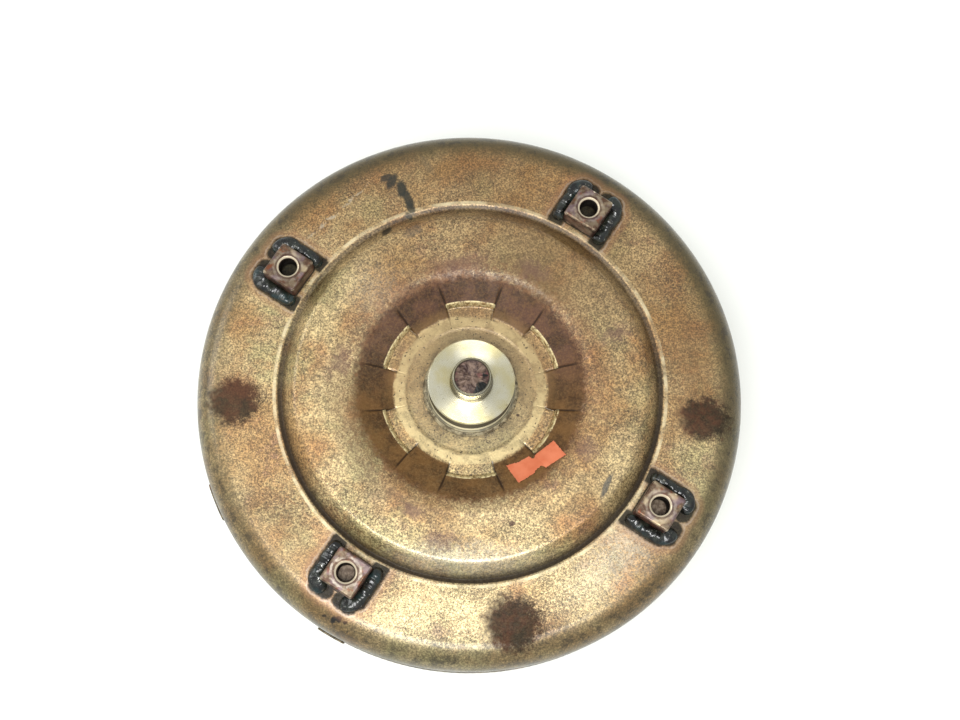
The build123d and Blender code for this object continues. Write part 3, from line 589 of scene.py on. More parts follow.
def pilot_steel():
    """Turned disc and nub; the nub's end is raw forged; the undercut and the nub's side are painted
    dark as shade, and the foot is dark with dust.
    """
    n = Nodes("pilot_steel")
    r = n.radius()
    z = n.split()[2]
    marks = n.noise(0.22, 3, 0.7, n.join(n.plus(r, z), 0.0, 0.0))
    colour = n.mix(n.cloud(14, 3, 0.5, 0.35, 0.65), (254, 248, 220), (242, 228, 172))
    colour = n.mix(n.ramp(marks, 0.35, 0.65, 0.0, 0.18), colour, (170, 152, 100))
    # the nub: side painted darker as shade, a painted highlight ring on its chamfer, painted shade in
    # the groove at its foot, black line at its edge, raw forged end
    nub = n.times(n.ramp(z, PILOT_Z + 0.2 * MM, PILOT_Z + 0.7 * MM),
                  n.ramp(r, NUB_R + 0.6 * MM, NUB_R + 0.1 * MM))
    colour = n.tint(colour, nub, 0.8, (64, 56, 42))
    # painted highlight: a bright ring on the nub's chamfer
    edge = n.times(nub, ring_band(n, r, 8.95, 9.3, 0.12))
    colour = n.tint(colour, edge, 0.6, (226, 220, 196))
    # painted shade in the groove at the nub's foot
    foot = n.times(ring_band(n, r, 9.6, 10.5, 0.3), n.ramp(z, PILOT_Z + 1.2 * MM, PILOT_Z + 0.4 * MM))
    colour = n.tint(colour, foot, 0.55, (70, 58, 38))
    raw = n.times(n.ramp(z, NUB_TOP_Z - 0.9 * MM, NUB_TOP_Z - 0.6 * MM), n.ramp_mm(r, 8.75, 8.45))
    forged = n.mix(n.cloud(3.2, 5, 0.7, 0.4, 0.6), (58, 40, 34), (110, 90, 76))
    forged = n.mix(n.cloud(5, 3, 0.6, 0.5, 0.65, 0.0, 0.6), forged, (112, 66, 62))
    ragged = n.stir(2, 2.3, 4 * MM)
    for angle_deg, radius_mm, size_mm in ((-48, 6.6, 2.6), (-70, 7.4, 2.0), (5, 6.8, 1.1)):
        pit = n.spot(angle_deg, radius_mm, size_mm, size_mm * 0.8, 0.5, 0.25, ragged)
        forged = n.mix(pit, forged, (20, 22, 18))
    rim_line = ring_band(n, r, 8.3, 8.7, 0.25)
    forged = n.tint(forged, rim_line, 0.8, (26, 22, 16))
    colour = n.mix(raw, colour, forged)
    # painted shade: the undercut below the disc painted near black, with a paler step, and a dirty foot
    under = n.ramp(z, PILOT_Z - 0.5 * MM, PILOT_Z - 1.3 * MM)
    step = n.times(n.ramp(z, FLOOR_Z + 4.9 * MM, FLOOR_Z + 5.3 * MM),
                   n.ramp(z, FLOOR_Z + 6.3 * MM, FLOOR_Z + 5.8 * MM))
    # colour under the disc: painted near-black shade, a paler band on the step, dust lower down
    dirty = n.mix(step, (20, 17, 11), (170, 160, 128))
    low = n.ramp(z, FLOOR_Z + 4.3 * MM, FLOOR_Z + 3.6 * MM)
    dirty = n.mix(low, dirty, n.mix(n.cloud(3, 3, 0.5, 0.4, 0.6), (150, 140, 110), (92, 84, 64)))
    colour = n.tint(colour, under, 0.92, dirty)
    rust = n.cloud(1.8, 4, 0.7, 0.62, 0.7, 0.0, 0.4)
    colour = n.mix(rust, colour, (140, 108, 62))
    dull = n.most(raw, under)
    gloss = n.plus(n.ramp(marks, 0.3, 0.7, 0.2, 0.3), n.times(dull, 0.25))
    n.surface(colour, n.rest(n.times(dull, 0.6)), gloss)
    n.brushed(0.85)
    lumps = n.times(n.noise(1.8, 4, 0.6), n.times(raw, 8.0))
    n.bump(n.plus(marks, lumps), 0.3, 0.06)
    return n.mat


def pad_steel():
    """Heat-stained weld nut: brown and grey scale, cream worn edges, contact rings at the hole with a
    painted highlight on the near pads, painted shade inside the hole.
    """
    n = Nodes("pad_steel")
    z = n.split()[2]
    out, aside = folded_pad(n)
    hole = n.vec("LENGTH", n.join(out, aside))
    wobble = n.plus(hole, n.times(n.minus(n.noise(3.5, 3), 0.5), 2.2 * MM))
    top = n.ramp(z, PAD_TOP_Z - 0.8 * MM, PAD_TOP_Z - 0.25 * MM)

    side_colour = n.mix(n.cloud(5, 4, 0.6, 0.35, 0.65), (38, 20, 14), (86, 54, 40))
    rub = n.times(n.cloud(7, 3, 0.5, 0.52, 0.64), n.ramp(z, RING_Z + 2.5 * MM, RING_Z + 1 * MM))
    side_colour = n.tint(side_colour, rub, 0.6, (190, 160, 130))
    top_colour = n.mix(n.cloud(5, 5, 0.7, 0.42, 0.6), (80, 56, 40), (122, 106, 84))
    rust = n.cloud(4.2, 4, 0.7, 0.54, 0.64, 0.0, 0.8)
    top_colour = n.mix(rust, top_colour, (116, 64, 34))
    elsewhere = n.vec("ADD", n.coord, (0.013, 0.007, 0))
    pale = n.ramp(n.noise(6.5, 2, 0.5, elsewhere), 0.5, 0.66, 0.0, 0.6)
    top_colour = n.mix(pale, top_colour, (198, 178, 142))
    elsewhere = n.vec("ADD", n.coord, (0.031, 0.017, 0))
    violet = n.ramp(n.noise(7.5, 2, 0.5, elsewhere), 0.48, 0.64, 0.0, 0.55)
    top_colour = n.mix(violet, top_colour, (122, 104, 112))
    # contact ring round the hole, made stronger on the near pads as a painted highlight
    near_pad_highlight = n.ramp_mm(n.split()[1], -60, -80)
    washer = n.times(ring_band(n, wobble, 6.9, 7.6, 0.7), n.ramp(near_pad_highlight, 0, 1, 0.25, 0.7),
                     n.cloud(3, 4, 0.7, 0.35, 0.6))
    top_colour = n.mix(washer, top_colour, (186, 176, 160))
    dull = n.times(ring_band(n, wobble, 5.7, 6.5, 0.4), 0.6)
    top_colour = n.mix(dull, top_colour, (70, 48, 38))
    colour = n.mix(top, side_colour, top_colour)
    worn = n.edges(0.515, 0.56)
    worn_top = n.times(worn, n.cloud(3, 3, 0.5, 0.42, 0.58, 0.0, 0.9),
                       n.ramp(z, RING_Z + 6 * MM, RING_Z + 9 * MM))
    colour = n.mix(worn_top, colour, (232, 216, 182))
    mouth = n.times(ring_band(n, hole, 4.9, 5.5, 0.2),
                    n.ramp(z, PAD_TOP_Z - 1.6 * MM, PAD_TOP_Z - 1.1 * MM))
    colour = n.tint(colour, mouth, 0.85, (220, 206, 176))
    # painted shade: the hole's wall below its mouth painted near black
    inside = n.times(n.ramp_mm(hole, 5.0, 4.7), n.ramp(z, PAD_TOP_Z - 0.7 * MM, PAD_TOP_Z - 1.3 * MM))
    colour = n.mix(inside, colour, (30, 26, 22))
    n.surface(colour, n.times(n.most(top, worn), 0.5), n.cloud(4, 3, 0.5, 0.3, 0.7, 0.3, 0.5))
    scratches = n.noise(0.5, 3, 0.6, n.vec("MULTIPLY", n.coord, (1, 0.2, 1)))
    n.bump(n.plus(n.noise(1.4, 4, 0.6), n.times(scratches, 0.4)), 0.5, 0.16)
    return n.mat


def weld_scale():
    """Dark glassy weld scale with green-blue patches and bright specks."""
    n = Nodes("weld_scale")
    colour = n.mix(n.cloud(4, 4, 0.6, 0.4, 0.62), (12, 12, 10), (36, 40, 32))
    colour = n.tint(colour, n.cloud(7, 3, 0.5, 0.52, 0.66), 0.7, (26, 48, 48))
    colour = n.tint(colour, n.cloud(3, 4, 0.7, 0.6, 0.7), 0.6, (72, 60, 42))
    glint = n.cloud(1.6, 4, 0.75, 0.63, 0.68)
    colour = n.tint(colour, glint, 0.7, (200, 196, 180))
    n.surface(colour, n.ramp(glint, 0, 1, 0.1, 0.9), n.cloud(3, 3, 0.5, 0.3, 0.7, 0.16, 0.4))
    n.set("Coat Weight", 0.4)
    n.set("Coat Roughness", 0.15)
    n.bump(n.noise(0.9, 4, 0.65), 0.5, 0.2)
    return n.mat


def seam_steel():
    """Machine-made seam bead: brown-black scale with dull metal showing."""
    n = Nodes("seam_steel")
    colour = n.mix(n.cloud(6, 4, 0.6, 0.35, 0.65), (44, 40, 30), (108, 96, 70))
    colour = n.tint(colour, n.cloud(20, 3, 0.5, 0.5, 0.65), 0.6, (120, 74, 40))
    n.surface(colour, 0.5, n.cloud(5, 3, 0.5, 0.3, 0.7, 0.35, 0.6))
    n.bump(n.noise(0.8, 3, 0.6), 0.4, 0.1)
    return n.mat


def foot_steel():
    """Thin weld at the pilot's foot, dusty grey-brown with black soot in places."""
    n = Nodes("foot_steel")
    colour = n.mix(n.cloud(5, 4, 0.7, 0.38, 0.62), (176, 164, 132), (96, 84, 62))
    colour = n.mix(n.cloud(2.4, 4, 0.75, 0.54, 0.64, 0.0, 0.8), colour, (30, 26, 18))
    n.surface(colour, 0.3, n.cloud(4, 3, 0.5, 0.3, 0.7, 0.4, 0.62))
    n.bump(n.noise(0.9, 3, 0.65), 0.45, 0.1)
    return n.mat


def shell_steel():
    """Rear shell: the same varnish, browner and more rubbed."""
    n = Nodes("shell_steel")
    colour = n.mix(n.cloud(50, 4, 0.6, 0.35, 0.65), (150, 128, 84), (112, 88, 56))
    colour = n.tint(colour, n.cloud(24, 4, 0.6, 0.52, 0.66), 0.6, (122, 74, 40))
    pepper = n.cloud(0.9, 2, 0.6, 0.46, 0.36)
    colour = n.tint(colour, pepper, 0.6, (52, 38, 24))
    r = n.radius()
    heat = n.ramp_mm(n.math("ABSOLUTE", n.minus(r, 40 * MM)), 12, 3)
    colour = n.tint(colour, heat, 0.6, (62, 50, 44))
    draw = n.noise(1.2, 2, 0.5, n.join(r, 0.0, 0.0))
    colour = n.mix(n.ramp(draw, 0.4, 0.65, 0.0, 0.18), colour, (196, 178, 132))
    n.surface(colour, 0.5, n.cloud(18, 3, 0.5, 0.3, 0.7, 0.34, 0.52))
    n.set("Coat Weight", 0.15)
    n.set("Coat Roughness", 0.35)
    n.bump(n.minus(n.noise(1.0, 3, 0.6), n.times(pepper, 0.5)), 0.35, 0.12)
    return n.mat


def label_paper():
    """Orange paper, slightly dirty."""
    n = Nodes("label_paper")
    colour = n.mix(n.cloud(9, 3, 0.5, 0.35, 0.65), (204, 114, 76), (190, 98, 60))
    colour = n.tint(colour, n.cloud(2.2, 4, 0.7, 0.58, 0.7), 0.35, (186, 92, 60))
    n.surface(colour, 0.0, n.cloud(4, 3, 0.5, 0.3, 0.7, 0.66, 0.82))
    n.set("Sheen Weight", 0.15)
    n.bump(n.noise(0.5, 4, 0.7), 0.4, 0.06)
    return n.mat


def plain_metal(name, light, dark, metallic, rough, size_mm=8):
    """Oiled inner parts: two tones, fine scratches and uneven gloss."""
    n = Nodes(name)
    colour = n.mix(n.cloud(size_mm, 4, 0.6, 0.35, 0.65), light, dark)
    fine = n.noise(0.6, 3, 0.6, n.join(n.radius(), n.split()[2], 0.0))
    colour = n.mix(n.ramp(fine, 0.45, 0.7, 0.0, 0.3), colour, dark)
    n.surface(colour, metallic, n.cloud(size_mm * 0.6, 3, 0.5, 0.3, 0.7, rough, rough + 0.18))
    n.bump(n.plus(fine, n.noise(1.0, 3, 0.6)), 0.25, 0.05)
    return n.mat


def paper_lining():
    """Fibrous friction paper soaked with oil."""
    n = Nodes("paper_lining")
    fibre = n.noise(0.7, 4, 0.75, n.coord, 1.5)
    colour = n.mix(n.ramp(fibre, 0.35, 0.65), (58, 42, 30), (104, 80, 56))
    n.surface(colour, 0.0, n.cloud(12, 3, 0.5, 0.3, 0.7, 0.5, 0.75))
    n.bump(fibre, 0.5, 0.1)
    return n.mat


# ---- Front cover
def cover_profile():
    """Outside of the cover from the pilot's hole to the rim's edge, then back inside."""
    outside = [
        (SPIGOT_R, FLOOR_Z),
        (FLOOR_R + 2 * MM, FLOOR_Z),
        (DOME_IN_R, DOME_Z),
        (DOME_OUT_R, DOME_Z),
        (GROOVE_R, RING_Z - 0.8 * MM),
        (RING_IN_R, RING_Z),
        (RIM_R, RING_Z),
        (RIM_R, COVER_END_Z),
    ]
    radii = [9 * MM, 16 * MM, 5 * MM, 0.8 * MM, 0.8 * MM, RIM_FILLET]
    out_line = fillet_line(outside, radii, 0.8 * MM)
    inside = [
        (RIM_R - SHEET, COVER_END_Z),
        (RIM_R - SHEET, RING_Z - SHEET),
        (RING_IN_R - 4 * MM, RING_Z - SHEET),
        (86 * MM, DOME_Z - SHEET),
        (63 * MM, DOME_Z - SHEET),
        (FLOOR_R + 3 * MM, FLOOR_Z - SHEET),
        (SPIGOT_R, FLOOR_Z - SHEET),
    ]
    in_line = fillet_line(inside, [9 * MM, 2 * MM, 5 * MM, 9 * MM, 9 * MM], 3 * MM)
    return out_line, in_line


def pocket_offset(angle):
    """Signed angle from the middle of the nearest pocket."""
    pitch = TAU / POCKETS
    return (angle - math.radians(90) + pitch / 2) % pitch - pitch / 2


def cover_shape(r, angle, z):
    """Pressed pockets, creases, weld pulls at the ring's edge, and slight unevenness."""
    off = pocket_offset(angle)
    away = abs(off)
    if FLOOR_R - 3 * MM < r < BOWL_R and z > FLOOR_Z - 1 * MM:
        inside = smoothstep(POCKET_HALF + 0.5 * MM / r, POCKET_HALF - 0.5 * MM / r, away)
        radial = smoothstep(POCKET_R + 0.45 * MM, POCKET_R - 0.45 * MM, r)
        z -= inside * radial * (z - FLOOR_Z)
        outside = smoothstep(POCKET_R - 0.2 * MM, POCKET_R + 0.6 * MM, r)
        z += 0.55 * MM * inside * (outside * smoothstep(BOWL_R, 50 * MM, r))
        lip = math.exp(-(((r - POCKET_R - 0.8 * MM) / (0.7 * MM)) ** 2))
        z += 0.3 * MM * lip * inside
        spread = POCKET_HALF + smoothstep(44 * MM, 60 * MM, r) * math.radians(1.6)
        crease = math.exp(-(((away - spread) * r / (0.55 * MM)) ** 2))
        z -= 0.55 * MM * crease * smoothstep(CREASE_END_R, 48 * MM, r) * smoothstep(38 * MM, 40 * MM, r)
    if z > RING_Z - 20 * MM:
        if r < 37 * MM:
            z -= 0.25 * MM * smoothstep(LEDGE_R + 0.4 * MM, LEDGE_R, r)
            z -= 0.2 * MM * math.exp(-(((r - LEDGE_R - 0.2 * MM) / (0.35 * MM)) ** 2))
        if 90 * MM < r < 106 * MM:
            for k in range(4):
                for side in (-1, 1):
                    turn = wrap(angle - PAD_ANGLE - k * TAU / 4 - side * math.radians(7.2))
                    pull = math.exp(-((turn * r / (3.2 * MM)) ** 2)) * smoothstep(90 * MM, 96 * MM, r)
                    r -= 0.3 * MM * pull * smoothstep(106 * MM, 99 * MM, r)
        place = polar(r, angle, 0) * 28
        uneven = noise.noise(place) + 0.5 * noise.noise(place * 2.7)
        z += 0.12 * MM * uneven * smoothstep(RIM_R, RIM_SHOULDER_R, r)
        hammered = noise.noise(polar(r, angle, 0) * 130)
        z += 0.03 * MM * hammered * smoothstep(RIM_R, RIM_SHOULDER_R, r)
    return r, min(z, DOME_Z + 0.5 * MM)


def build_cover(material):
    out_line, in_line = cover_profile()
    profile = [tuple(p) for p in out_line + in_line]
    cover = lathe("cover_pressing", profile, COVER_SEGMENTS, cover_shape, len(out_line))
    cover.data.materials.append(material)
    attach(cover, "housing")
    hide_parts("front_cover")
    return cover


# ---- Pilot boss
def build_pilot(material):
    disc_z = PILOT_Z - 12 * MM
    end_z = pilot_lo.z
    corner = 0.5 * MM
    points = [
        (0.02 * MM, NUB_TOP_Z - 0.35 * MM),
        (NUB_R - 1.5 * MM, NUB_TOP_Z - 0.3 * MM),
        (NUB_R - 1.3 * MM, NUB_TOP_Z),
        (NUB_R - 1.0 * MM, NUB_TOP_Z),
        (NUB_R, NUB_TOP_Z - 1.0 * MM),
        (NUB_R, PILOT_Z + 0.9 * MM),
        (NUB_R - 0.35 * MM, PILOT_Z + 0.6 * MM),
        (NUB_R - 0.35 * MM, PILOT_Z - 0.1 * MM),
        (NUB_R + 0.5 * MM, PILOT_Z - 0.1 * MM),
        (NUB_R + 0.9 * MM, PILOT_Z),
        (PILOT_R - corner, PILOT_Z),
        (PILOT_R, PILOT_Z - corner),
        (PILOT_R, disc_z + corner),
        (PILOT_R - corner, disc_z),
        (20.6 * MM, disc_z),
        (20.6 * MM, FLOOR_Z + 6.0 * MM),
        (21.8 * MM, FLOOR_Z + 5.6 * MM),
        (21.8 * MM, FLOOR_Z + 4.6 * MM),
        (21.0 * MM, FLOOR_Z + 4.2 * MM),
        (FOOT_R, FLOOR_Z + 3.8 * MM),
        (FOOT_R, FLOOR_Z),
        (SPIGOT_R, FLOOR_Z),
        (SPIGOT_R, FLOOR_Z - SHEET),
        (pilot_hi.x, FLOOR_Z - SHEET),
        (pilot_hi.x, end_z),
        (11 * MM, end_z),
        (11 * MM, end_z + 14 * MM),
        (0.02 * MM, end_z + 17 * MM),
    ]

    def forged(r, angle, z):
        if z > NUB_TOP_Z - 0.4 * MM and r < NUB_R - 1.4 * MM:
            lumps = noise.noise(polar(r, angle) * 520) + 0.6 * noise.noise(polar(r, angle) * 1300)
            z += 0.22 * MM * lumps * smoothstep(NUB_R - 1.4 * MM, NUB_R - 2.6 * MM, r)
        return r, min(z, NUB_TOP_Z)

    pilot = lathe("pilot_boss", dense_line(points, 0.7 * MM), 256, forged)
    pilot.data.materials.append(material)
    crisp(pilot, 35)
    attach(pilot, "housing")
    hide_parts("crank_pilot")
    return pilot


def crisp(obj, angle_deg):
    """Edges sharper than the angle stay sharp."""
    mesh = obj.data
    limit = math.radians(angle_deg)
    owners = {}
    for poly in mesh.polygons:
        for key in poly.edge_keys:
            owners.setdefault(key, []).append(poly.normal)
    for edge in mesh.edges:
        normals = owners.get(edge.key, ())
        if len(normals) == 2 and normals[0].length and normals[1].length:
            if normals[0].angle(normals[1], 0) > limit:
                edge.use_edge_sharp = True


# ---- Welds
def bead_mesh(path, normals, width, height, seed, base_z):
    """Verts and faces of a rippled weld bead along path; normals point to its outer side."""
    verts = []
    faces = []
    across = 14
    ripple_gap = 1.5 * MM
    count = len(path)
    length = 0.0
    lengths = [0.0]
    for a, b in zip(path, path[1:]):
        length += (b - a).length
        lengths.append(length)
    for i in range(count):
        s = lengths[i]
        end = min(s, length - s)
        taper = math.sqrt(max(0.0, 1 - (1 - min(1.0, end / (0.55 * width))) ** 2))
        taper = max(taper, 0.04)
        for j in range(across + 1):
            t = math.pi * j / across
            lag = 0.9 * MM * math.sin(t)
            ripple = abs(math.sin(math.pi * (s + lag) / ripple_gap))
            rough = noise.noise(Vector((s * 320, t, seed)))
            swell = 1 + 0.04 * ripple + 0.3 * rough
            fuller = 0.92 + 0.2 * smoothstep(0.45, 0.75, s / length)
            uneven = 1 + 0.2 * noise.noise(Vector((s * 170, seed, math.cos(t))))
            side = math.cos(t) * 0.5 * width * taper * fuller * uneven
            rise = math.sin(t) ** 0.8 * height * taper * swell
            place = path[i] + normals[i] * side
            verts.append(Vector((place.x, place.y, base_z + rise)))
    row = across + 1
    for i in range(count - 1):
        for j in range(across):
            a = i * row + j
            faces.append((a, a + 1, a + row + 1, a + row))
        faces.append((i * row, (i + 1) * row, (i + 1) * row + across, i * row + across))
    faces.append(tuple(range(across, -1, -1)))
    last = (count - 1) * row
    faces.append(tuple(range(last, last + row)))
    return verts, faces


def build_pad_welds(material):
    """Two beads to a pad, each along a radial side and round the outer corner."""
    all_verts = []
    all_faces = []
    half = PAD_SIDE / 2
    width, height, sink = 7.8 * MM, 3.6 * MM, 0.05 * MM
    corner_r = 5.5 * MM
    straight, bend, tail = 64, 20, 14
    for k in range(4):
        angle = PAD_ANGLE + k * TAU / 4
        radial = polar(1, angle)
        tangent = polar(1, angle + TAU / 4)
        centre = radial * PAD_CIRCLE_R
        for side in (-1, 1):
            local = []
            start_u = -half - (1.8 + 0.8 * noise.noise(Vector((k, side, 1)))) * MM
            stop_u = half + 2.4 * MM - corner_r
            end_v = 4.4 * MM + 0.9 * MM * noise.noise(Vector((k, side, 5)))
            for i in range(straight):
                local.append((start_u + (stop_u - start_u) * i / straight, BEAD_LINE, 0.0, 1.0))
            for i in range(bend):
                turn = i / bend * math.pi / 2
                u = stop_u + corner_r * math.sin(turn)
                v = BEAD_LINE - corner_r + corner_r * math.cos(turn)
                local.append((u, v, math.sin(turn), math.cos(turn)))
            top_v = BEAD_LINE - corner_r
            for i in range(tail):
                local.append((stop_u + corner_r, top_v + (end_v - top_v) * i / (tail - 1), 1.0, 0.0))
            path = [centre + radial * u + tangent * (v * side) for u, v, nu, nv in local]
            normals = [radial * nu + tangent * (nv * side) for u, v, nu, nv in local]
            seed = k * 2.3 + side
            verts, faces = bead_mesh(path, normals, width, height, seed, RING_Z - sink)
            if side < 0:
                faces = [tuple(reversed(f)) for f in faces]
            offset = len(all_verts)
            all_verts.extend(verts)
            all_faces.extend(tuple(i + offset for i in f) for f in faces)
    beads = mesh_object("pad_weld_beads", all_verts, all_faces)
    beads.data.materials.append(material)
    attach(beads, "housing")
    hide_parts("pad_welds")
    return beads


def ring_bead(name, node, points, ripple_mm, material, segments=900):
    """Round weld bead with ripples, from a closed (r, z) outline."""
    centre_r = sum(p[0] for p in points) / len(points)
    centre_z = sum(p[1] for p in points) / len(points)

    def ripples(r, angle, z):
        wave = abs(math.sin(angle * centre_r / (ripple_mm * MM) * math.pi / 2))
        uneven = noise.noise(polar(centre_r, angle, z) * 180)
        shrink = 1 - 0.05 * wave - 0.05 * (0.5 + 0.5 * uneven)
        return centre_r + (r - centre_r) * shrink, centre_z + (z - centre_z) * shrink

    bead = lathe(name, points, segments, ripples)
    bead.data.materials.append(material)
    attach(bead, "housing")
    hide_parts(node)
    return bead


def arc_outline(corners, bulge, count):
    """Closed outline: the corners, then a bulging arc from the last corner to the first."""
    first, last = Vector(corners[0]), Vector(corners[-1])
    out = Vector(bulge)
    points = [tuple(c) for c in corners]
    for i in range(1, count):
        t = i / count
        a = last.lerp(first, t)
        points.append(tuple(a + out * math.sin(math.pi * t)))
    return points


# ---- Pads and balance plates from their CAD solids, worn by remeshing
def worn_copy(name, node, voxel, rounding, depth, size_mm, material, pull=None):
    """Copy of a CAD node with softened edges and a hammered surface, kept inside the solid."""
    source = frame["nodes"][node]
    piece = link(bpy.data.objects.new(name, source.data.copy()))
    piece.data.materials.clear()
    remesh = piece.modifiers.new("remesh", "REMESH")
    remesh.mode = "VOXEL"
    remesh.voxel_size = voxel
    smooth = piece.modifiers.new("smooth", "SMOOTH")
    smooth.iterations = rounding
    smooth.factor = 0.5
    depsgraph = bpy.context.evaluated_depsgraph_get()
    mesh = bpy.data.meshes.new_from_object(piece.evaluated_get(depsgraph))
    piece.modifiers.clear()
    piece.data = mesh
    mesh.polygons.foreach_set("use_smooth", [True] * len(mesh.polygons))
    moves = []
    for vert in mesh.vertices:
        p = vert.co
        lump = noise.noise(p * (1000 / size_mm)) * 0.5 + 0.5
        fine = noise.noise(p * (1000 / (size_mm * 0.35))) * 0.5 + 0.5
        moves.append(vert.normal * (-depth * (0.7 * lump + 0.3 * fine)))
    for vert, move in zip(mesh.vertices, moves):
        vert.co += move
        if pull:
            vert.co = pull(vert.co)
    mesh.update()
    mesh.materials.append(material)
    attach(piece, "housing")
    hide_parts(node)
    return piece


def thread(point):
    """Cuts a thread into the wall of the nearest pad's hole."""
    angle = math.atan2(point.y, point.x) - PAD_ANGLE
    nearest = round(angle / (TAU / 4)) * TAU / 4 + PAD_ANGLE
    centre = polar(PAD_CIRCLE_R, nearest)
    away = Vector((point.x - centre.x, point.y - centre.y, 0))
    if away.length > PAD_HOLE_R + 0.5 * MM or point.z > PAD_TOP_Z - 1.3 * MM:
        return point
    turn = math.atan2(away.y, away.x)
    pitch = 1.25 * MM
    wave = math.sin(TAU * point.z / pitch - turn)
    return point + away.normalized() * (0.28 * MM * wave + 0.1 * MM)


# ---- Paper label
LABEL_TURN = math.radians(27)
# outline in the label's own frame, millimetres: two torn pieces that still hang together
LABEL_EDGE = (
    (-14.6, 4.4), (-14.2, -0.8), (-13.6, -6.6), (-8.6, -6.2), (-4.1, -5.7), (-3.4, -4.9),
    (-2.7, -4.9), (-1.8, -4.3), (-0.9, -4.6), (0.0, -3.9), (0.8, -4.4), (2.1, -6.1),
    (8.0, -5.5), (13.6, -5.1), (12.8, -0.4), (12.1, 4.4), (6.0, 3.4), (0.4, 2.3),
    (-0.1, 1.5), (-0.8, 1.2), (-1.6, 1.6), (-2.3, 3.4), (-9.4, 3.1), (-10.0, 3.6),
)


def inside_outline(x, y, outline):
    inside = False
    for (ax, ay), (bx, by) in zip(outline, outline[1:] + outline[:1]):
        if (ay > y) != (by > y) and x < (bx - ax) * (y - ay) / (by - ay) + ax:
            inside = not inside
    return inside


def cover_height(x, y, out_line):
    """Height of the cover's outside above the table at a plan position."""
    radius, angle = math.hypot(x, y), math.atan2(y, x)
    for (inner_r, inner_z), (outer_r, outer_z) in zip(out_line, out_line[1:]):
        if inner_r <= radius <= outer_r and outer_r > inner_r:
            base = inner_z + (outer_z - inner_z) * (radius - inner_r) / (outer_r - inner_r)
            return cover_shape(radius, angle, base)[1]
    return RING_Z


def build_label(material):
    """Torn sheet laid over the pressing, slightly lifted at its corners."""
    lo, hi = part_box("label")
    middle = (Vector(lo) + Vector(hi)) / 2
    out_line = cover_profile()[0]
    step = 0.22 * MM
    lift = 0.22 * MM
    verts = []
    faces = []
    index = {}
    ca, sa = math.cos(LABEL_TURN), math.sin(LABEL_TURN)

    def vertex(i, j):
        if (i, j) not in index:
            u, v = i * step, j * step
            x, y = middle.x + u * ca - v * sa, middle.y + u * sa + v * ca
            reach = 1.2 * MM
            around = ((0, 0), (reach, 0), (-reach, 0), (0, reach), (0, -reach))
            heights = [cover_height(x + dx, y + dy, out_line) for dx, dy in around]
            z = max(heights[0], sum(heights) / len(heights))
            curl = smoothstep(8 * MM, 15 * MM, abs(u)) * smoothstep(0, 5 * MM, abs(v)) * 0.5 * MM
            wave = 0.12 * MM * (1 + noise.noise(Vector((u, v, 0)) * 250))
            index[i, j] = len(verts)
            verts.append(Vector((x, y, z + lift + curl + wave)))
        return index[i, j]

    reach_u, low_v, high_v = 70, 32, 26
    for i in range(-reach_u, reach_u):
        for j in range(-low_v, high_v):
            u, v = (i + 0.5) * step / MM, (j + 0.5) * step / MM
            fray = 0.18 * noise.noise(Vector((u * 1.7, v * 1.7, 4)))
            if inside_outline(u + fray, v + fray, LABEL_EDGE):
                faces.append((vertex(i, j), vertex(i + 1, j), vertex(i + 1, j + 1), vertex(i, j + 1)))
    sheet = mesh_object("label_sheet", verts, faces)
    solid = sheet.modifiers.new("thickness", "SOLIDIFY")
    solid.thickness = 0.14 * MM
    solid.offset = 1
    sheet.data.materials.append(material)
    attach(sheet, "housing")
    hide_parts("label")
    return sheet


# ---- Scene
def assign(material, *names):
    for name in names:
        obj = frame["nodes"][name]
        obj.data.materials.clear()
        obj.data.materials.append(material)


def build_floor():
    half = 9.0
    corners = [(-half, -half, 0), (half, -half, 0), (half, half, 0), (-half, half, 0)]
    floor = mesh_object("table_top", corners, [(0, 1, 2, 3)])
    n = Nodes("table_paint")
    colour = n.mix(n.cloud(300, 2, 0.5, 0.3, 0.7), (246, 247, 240), (238, 240, 233))
    n.surface(colour, 0.0, n.cloud(60, 2, 0.5, 0.3, 0.7, 0.5, 0.62))
    floor.data.materials.append(n.mat)


def build_camera():
    data = bpy.data.cameras.new("camera")
    camera = link(bpy.data.objects.new("camera", data))
    aim = Vector((4.75 * MM, 14.9 * MM, RING_Z))
    elevation = math.radians(77.01)
    azimuth = math.radians(-96.09)
    distance = 0.7016
    roll = math.radians(-5.94)
    away = Vector((math.cos(elevation) * math.cos(azimuth), math.cos(elevation) * math.sin(azimuth),
                   math.sin(elevation)))
    up = Vector((0, 0, 1))
    right = up.cross(away).normalized()
    upright = away.cross(right)
    level = Matrix((right, upright, away)).transposed()
    rotation = level @ Matrix.Rotation(-roll, 3, "Z")
    camera.matrix_world = Matrix.Translation(aim + away * distance) @ rotation.to_4x4()
    data.lens = 51.7
    data.sensor_width = 36
    data.clip_start = 0.01
    data.clip_end = 20
    bpy.context.scene.camera = camera


def area_light(name, place, aim, size, power, colour=(1, 1, 1)):
    data = bpy.data.lights.new(name, "AREA")
    data.shape = "RECTANGLE"
    data.size, data.size_y = size
    data.energy = power
    data.color = colour
    light = link(bpy.data.objects.new(name, data))
    light.location = place
    light.rotation_euler = (Vector(aim) - Vector(place)).to_track_quat("-Z", "Y").to_euler()


def build_light():
    world = bpy.data.worlds.new("world")
    bpy.context.scene.world = world
    world.use_nodes = True
    back = world.node_tree.nodes["Background"]
    back.inputs["Color"].default_value = (0.93, 0.96, 1.0, 1)
    back.inputs["Strength"].default_value = 0.6
    area_light("overhead", (-0.1, -0.48, 1.7), (0, 0, 0.1), (0.8, 0.6), 27)
    area_light("window", (-1.5, 0.5, 1.1), (0, 0, 0.1), (0.9, 0.9), 9)
    scene = bpy.context.scene
    scene.view_settings.view_transform = "Standard"
    scene.view_settings.exposure = 0.0


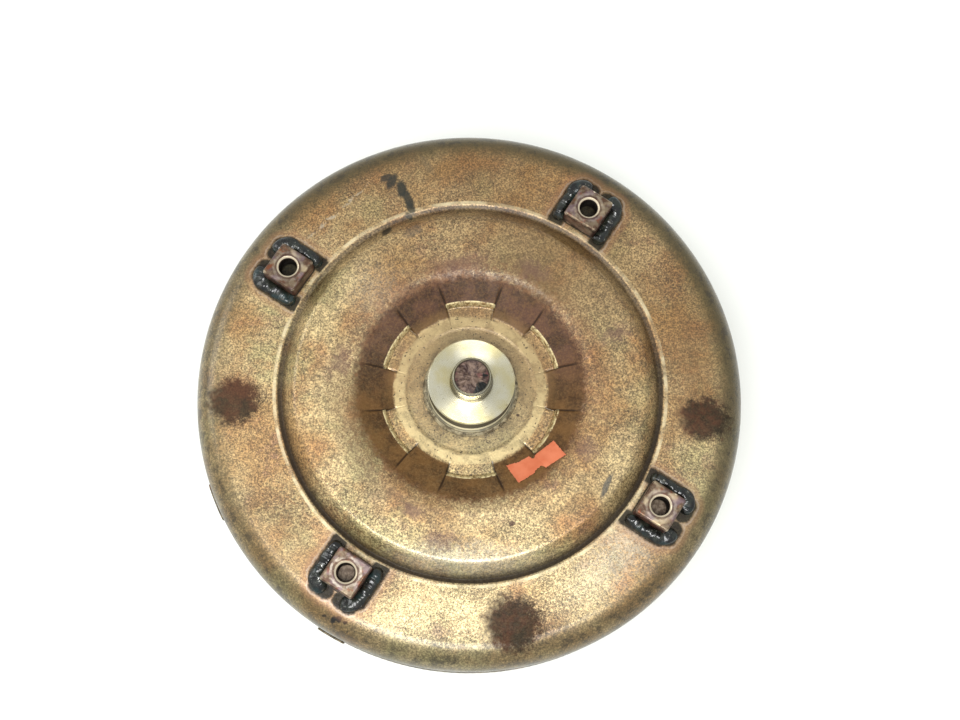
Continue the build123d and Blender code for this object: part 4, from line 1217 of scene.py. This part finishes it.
build_camera()
build_light()
build_floor()

weld_mat = weld_scale()
seam_mat = seam_steel()

build_cover(varnished_cover())
build_pilot(pilot_steel())
build_pad_welds(weld_mat)
worn_copy("drive_pad_nuts", "drive_pads", 0.4 * MM, 3, 0.12 * MM, 3.0, pad_steel(),
          thread)
worn_copy("balance_plates", "balance_weights", 0.35 * MM, 4, 0.25 * MM, 4.0, seam_mat)

seam_corners = [
    (RIM_R, COVER_END_Z), (RIM_R - SHEET, COVER_END_Z), (RIM_R - SHEET, seam_lo.z),
]
ring_bead("seam_bead", "seam_weld", arc_outline(seam_corners, (0.0026, -0.0008), 14), 1.8, seam_mat)
hub_corners = [
    (36 * MM, hub_weld_hi.z - 1 * MM), (36 * MM, hub_weld_hi.z), (hub_weld_hi.x, hub_weld_hi.z),
]
ring_bead("hub_bead", "hub_weld", arc_outline(hub_corners, (0.0005, -0.0022), 10), 1.5, weld_mat, 360)
foot_corners = [(FOOT_R, FLOOR_Z + 1.6 * MM), (FOOT_R, FLOOR_Z), (FOOT_R + 1.7 * MM, FLOOR_Z)]
ring_bead("pilot_bead", "pilot_weld", arc_outline(foot_corners, (0.0001, 0.0001), 8), 1.3,
          foot_steel(), 300)

assign(shell_steel(), "impeller_shell")
assign(turned_steel("turned_steel", (146, 140, 124)), "impeller_hub")
build_label(label_paper())
oiled = plain_metal("oiled_steel", (176, 174, 168), (128, 124, 116), 0.95, 0.28)
dark_steel = plain_metal("dark_steel", (120, 118, 116), (78, 76, 74), 0.9, 0.32)
bearings = [f"{end}_bearing_{part}" for end in ("rear", "front")
            for part in ("lower_race", "upper_race", "needles", "cage")]
assign(oiled, "turbine_hub", "turbine_shell", "turbine_blades", "turbine_core_ring",
       "impeller_blades", "impeller_core_ring", "lockup_piston", "damper_driven_plate",
       "damper_front_retainer", "damper_rear_retainer", "clutch_inner_race", "clutch_outer_race",
       "clutch_rollers", *bearings)
assign(dark_steel, "turbine_rivets", "damper_rivets", "damper_springs", "clutch_springs")
assign(plain_metal("cast_aluminium", (196, 198, 200), (160, 162, 164), 0.85, 0.42, 5), "stator_wheel",
       "clutch_rear_plate", "clutch_front_plate")
assign(plain_metal("bronze", (188, 142, 84), (142, 100, 58), 0.95, 0.28), "hub_bush")
assign(plain_metal("seal_plastic", (44, 38, 34), (28, 24, 22), 0.0, 0.4), "piston_seal",
       "turbine_thrust_washer")
assign(paper_lining(), "friction_lining")
